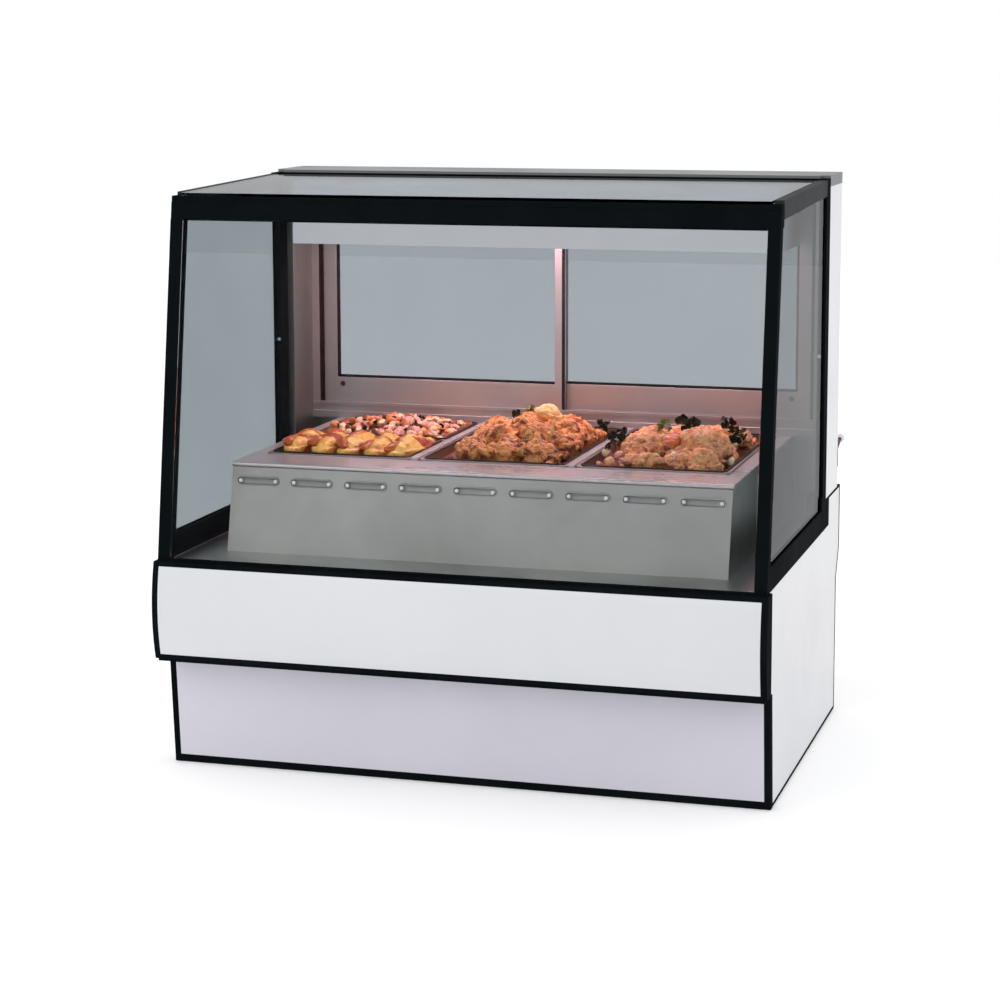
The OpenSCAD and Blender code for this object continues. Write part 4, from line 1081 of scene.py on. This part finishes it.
rightPlan = {
    "node": "pan_right", "name": "foodRight", "seed": 41, "bed": -16, "crust": "tanCrust",
    "rise": 36, "lean": (0, -30), "margins": (10, 8, 6, 40),
    "lumps": [
        (-36, -186, 0, 46, 40, 26), (30, -196, -2, 40, 34, 24), (90, -180, 0, 44, 44, 28),
        (-44, -110, 20, 54, 52, 34), (74, -112, 26, 60, 56, 40), (16, -140, 4, 30, 34, 24),
        (-50, -30, 18, 54, 56, 34), (70, -20, 20, 56, 56, 34), (8, 40, 14, 56, 54, 30),
        (-70, 70, 6, 46, 56, 26), (84, 80, 10, 46, 60, 28), (-10, 130, 6, 60, 50, 26),
        (70, 170, 4, 56, 44, 24)],
    "crumbs": [("tanCrust", 60, 8, 15), ("creamPiece", 30, 6, 11), ("pinkPiece", 30, 6, 12),
               ("brownPiece", 26, 7, 13)],
    "topPiece": {"finish": "redSauce", "place": (12, -128, 34), "size": (26, 34, 16), "turn": (0.5, 0, 0),
                 "coarse": 14, "fine": 5},
    "greens": [("darkLeaf", 18, 17, (10, 17), [(-115.5, -102, 22), (-125.5, -32, 26), (20, 20, 50),
                                               (99.5, 60, 44), (129.5, -10, 32), (-30, 192, 22)]),
               ("freshLeaf", 14, 12, (9, 14), [(-20, -40, 54)])],
}


def addCrispLumps(middle, lumps, finish, chance):
    made = []
    for lump in lumps:
        place, size = Vector(lump[:3]) * mm, Vector(lump[3:]) * mm
        turn = (chance.uniform(-0.3, 0.3), chance.uniform(-0.3, 0.3), chance.uniform(0, 3))
        piece = startLump(middle + place, size, turn, finish, 5)
        roughen(piece, 26 * mm, 12 * mm)
        made.append(piece)
    return made


def addCrumbs(crumbs, area, chance, heap):
    made = []
    for finish, count, least, most in crumbs:
        made += scatter(startCrumb(finish), count, area, (least * mm, most * mm), chance, heap)
    piece = joinAll(made)
    roughen(piece, 12 * mm, 9 * mm)
    return piece


def addTopPiece(middle, plan):
    place, size = middle + Vector(plan["place"]) * mm, Vector(plan["size"]) * mm
    piece = startLump(place, size, plan["turn"], plan["finish"], 5)
    roughen(piece, plan["coarse"] * mm, plan["fine"] * mm)
    return piece


def addGreens(middle, finish, count, spread, sizes, spots, chance):
    first = startLeaf(finish)
    made = []
    for spot in spots:
        x, y, z = middle + Vector(spot) * mm
        made += scatter(copyOf(first), count, (x - spread, x + spread, y - spread, y + spread), sizes, chance,
                        lambda across, along: z + chance.uniform(-0.5, 1) * spread)
    bpy.data.objects.remove(first)
    return made


def fillFullPan(plan):
    # Fried pieces heaped on a dark bed, with crumbs, one odd piece on top and greens
    node = plan["node"]
    x0, x1, y0, y1, rim = panMouth(node)
    middle = Vector(((x0 + x1) / 2, (y0 + y1) / 2, rim))
    left, right, front, back = plan["margins"]
    area = (x0 + left * mm, x1 - right * mm, y0 + front * mm, y1 - back * mm)
    chance = random.Random(plan["seed"])
    heap = heapShape(node, plan["rise"] * mm, Vector(plan["lean"]) * mm)
    made = [startBed(node, plan["bed"] * mm, "brownPiece")]
    made += addCrispLumps(middle, plan["lumps"], plan["crust"], chance)
    made.append(addCrumbs(plan["crumbs"], area, chance, heap))
    made.append(addTopPiece(middle, plan["topPiece"]))
    for finish, count, spread, sizes, spots in plan["greens"]:
        sizes = (sizes[0] * mm, sizes[1] * mm)
        made += addGreens(middle, finish, count, spread * mm, sizes, spots, chance)
    piece = joinAll(made)
    trimToPan(piece, node)
    finishPiece(piece, plan["name"], node, None, 60)


fillLeftFront(rollPlan)
fillLeftRear(mixPlan)
fillFullPan(middlePlan)
fillFullPan(rightPlan)
print("food made")


# ---- Floor and light ----

lightPlan = {
    "sky": 1.0,
    "key": {"place": (-2.2, -3.4, 3.2), "aim": (0.0, 0.0, 0.6), "size": 2.4, "watts": 24, "colour": (1, 1, 1)},
    "rim": {"place": (3.0, -1.2, 2.6), "aim": (0.0, 0.0, 0.7), "size": 1.8, "watts": 5, "colour": (1, 1, 1)},
    "lampWatts": 2.3,
    "lampColour": (1.0, 0.54, 0.58),
}


def addAreaLight(name, plan, across=None, along=None):
    data = bpy.data.lights.new(name, "AREA")
    data.energy = plan["watts"]
    data.color = plan["colour"]
    data.shape = "RECTANGLE"
    data.size = across or plan["size"]
    data.size_y = along or plan["size"]
    made = bpy.data.objects.new(name, data)
    scene.collection.objects.link(made)
    made.visible_camera = False
    made.location = plan["place"]
    aim = Vector(plan["aim"]) - Vector(plan["place"])
    made.rotation_euler = aim.to_track_quat("-Z", "Y").to_euler()


def addStudio(plan):
    world = bpy.data.worlds.new("studioSky")
    scene.world = world
    world.use_nodes = True
    sky = world.node_tree.nodes["Background"]
    sky.inputs["Color"].default_value = (1, 1, 1, 1)
    sky.inputs["Strength"].default_value = plan["sky"]
    addAreaLight("keyLight", plan["key"])
    addAreaLight("rimLight", plan["rim"])
    low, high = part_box("heat_lamps")
    height = (low.z + high.z) / 2 - 14 * mm
    depth = (low.y + high.y) / 2
    for name in ("pan_left_front", "pan_middle", "pan_right"):
        panLow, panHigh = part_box(name)
        across = (panLow.x + panHigh.x) / 2
        addAreaLight("heatGlow_" + name, {
            "place": (across, depth, height), "aim": (across, depth, 0), "size": 0.24,
            "watts": plan["lampWatts"], "colour": plan["lampColour"]}, 0.24, 0.05)


def addFloor():
    deselectAll()
    bpy.ops.mesh.primitive_grid_add(x_subdivisions=8, y_subdivisions=8, size=24, location=(0, 0, -0.001))
    floor = bpy.context.active_object
    floor.name = "studioFloor"
    floor.data.materials.append(finishes["studioFloor"])
    deselectAll()


addStudio(lightPlan)
addFloor()
scene.view_settings.view_transform = "Standard"
scene.cycles.transparent_max_bounces = 24
print("studio made")
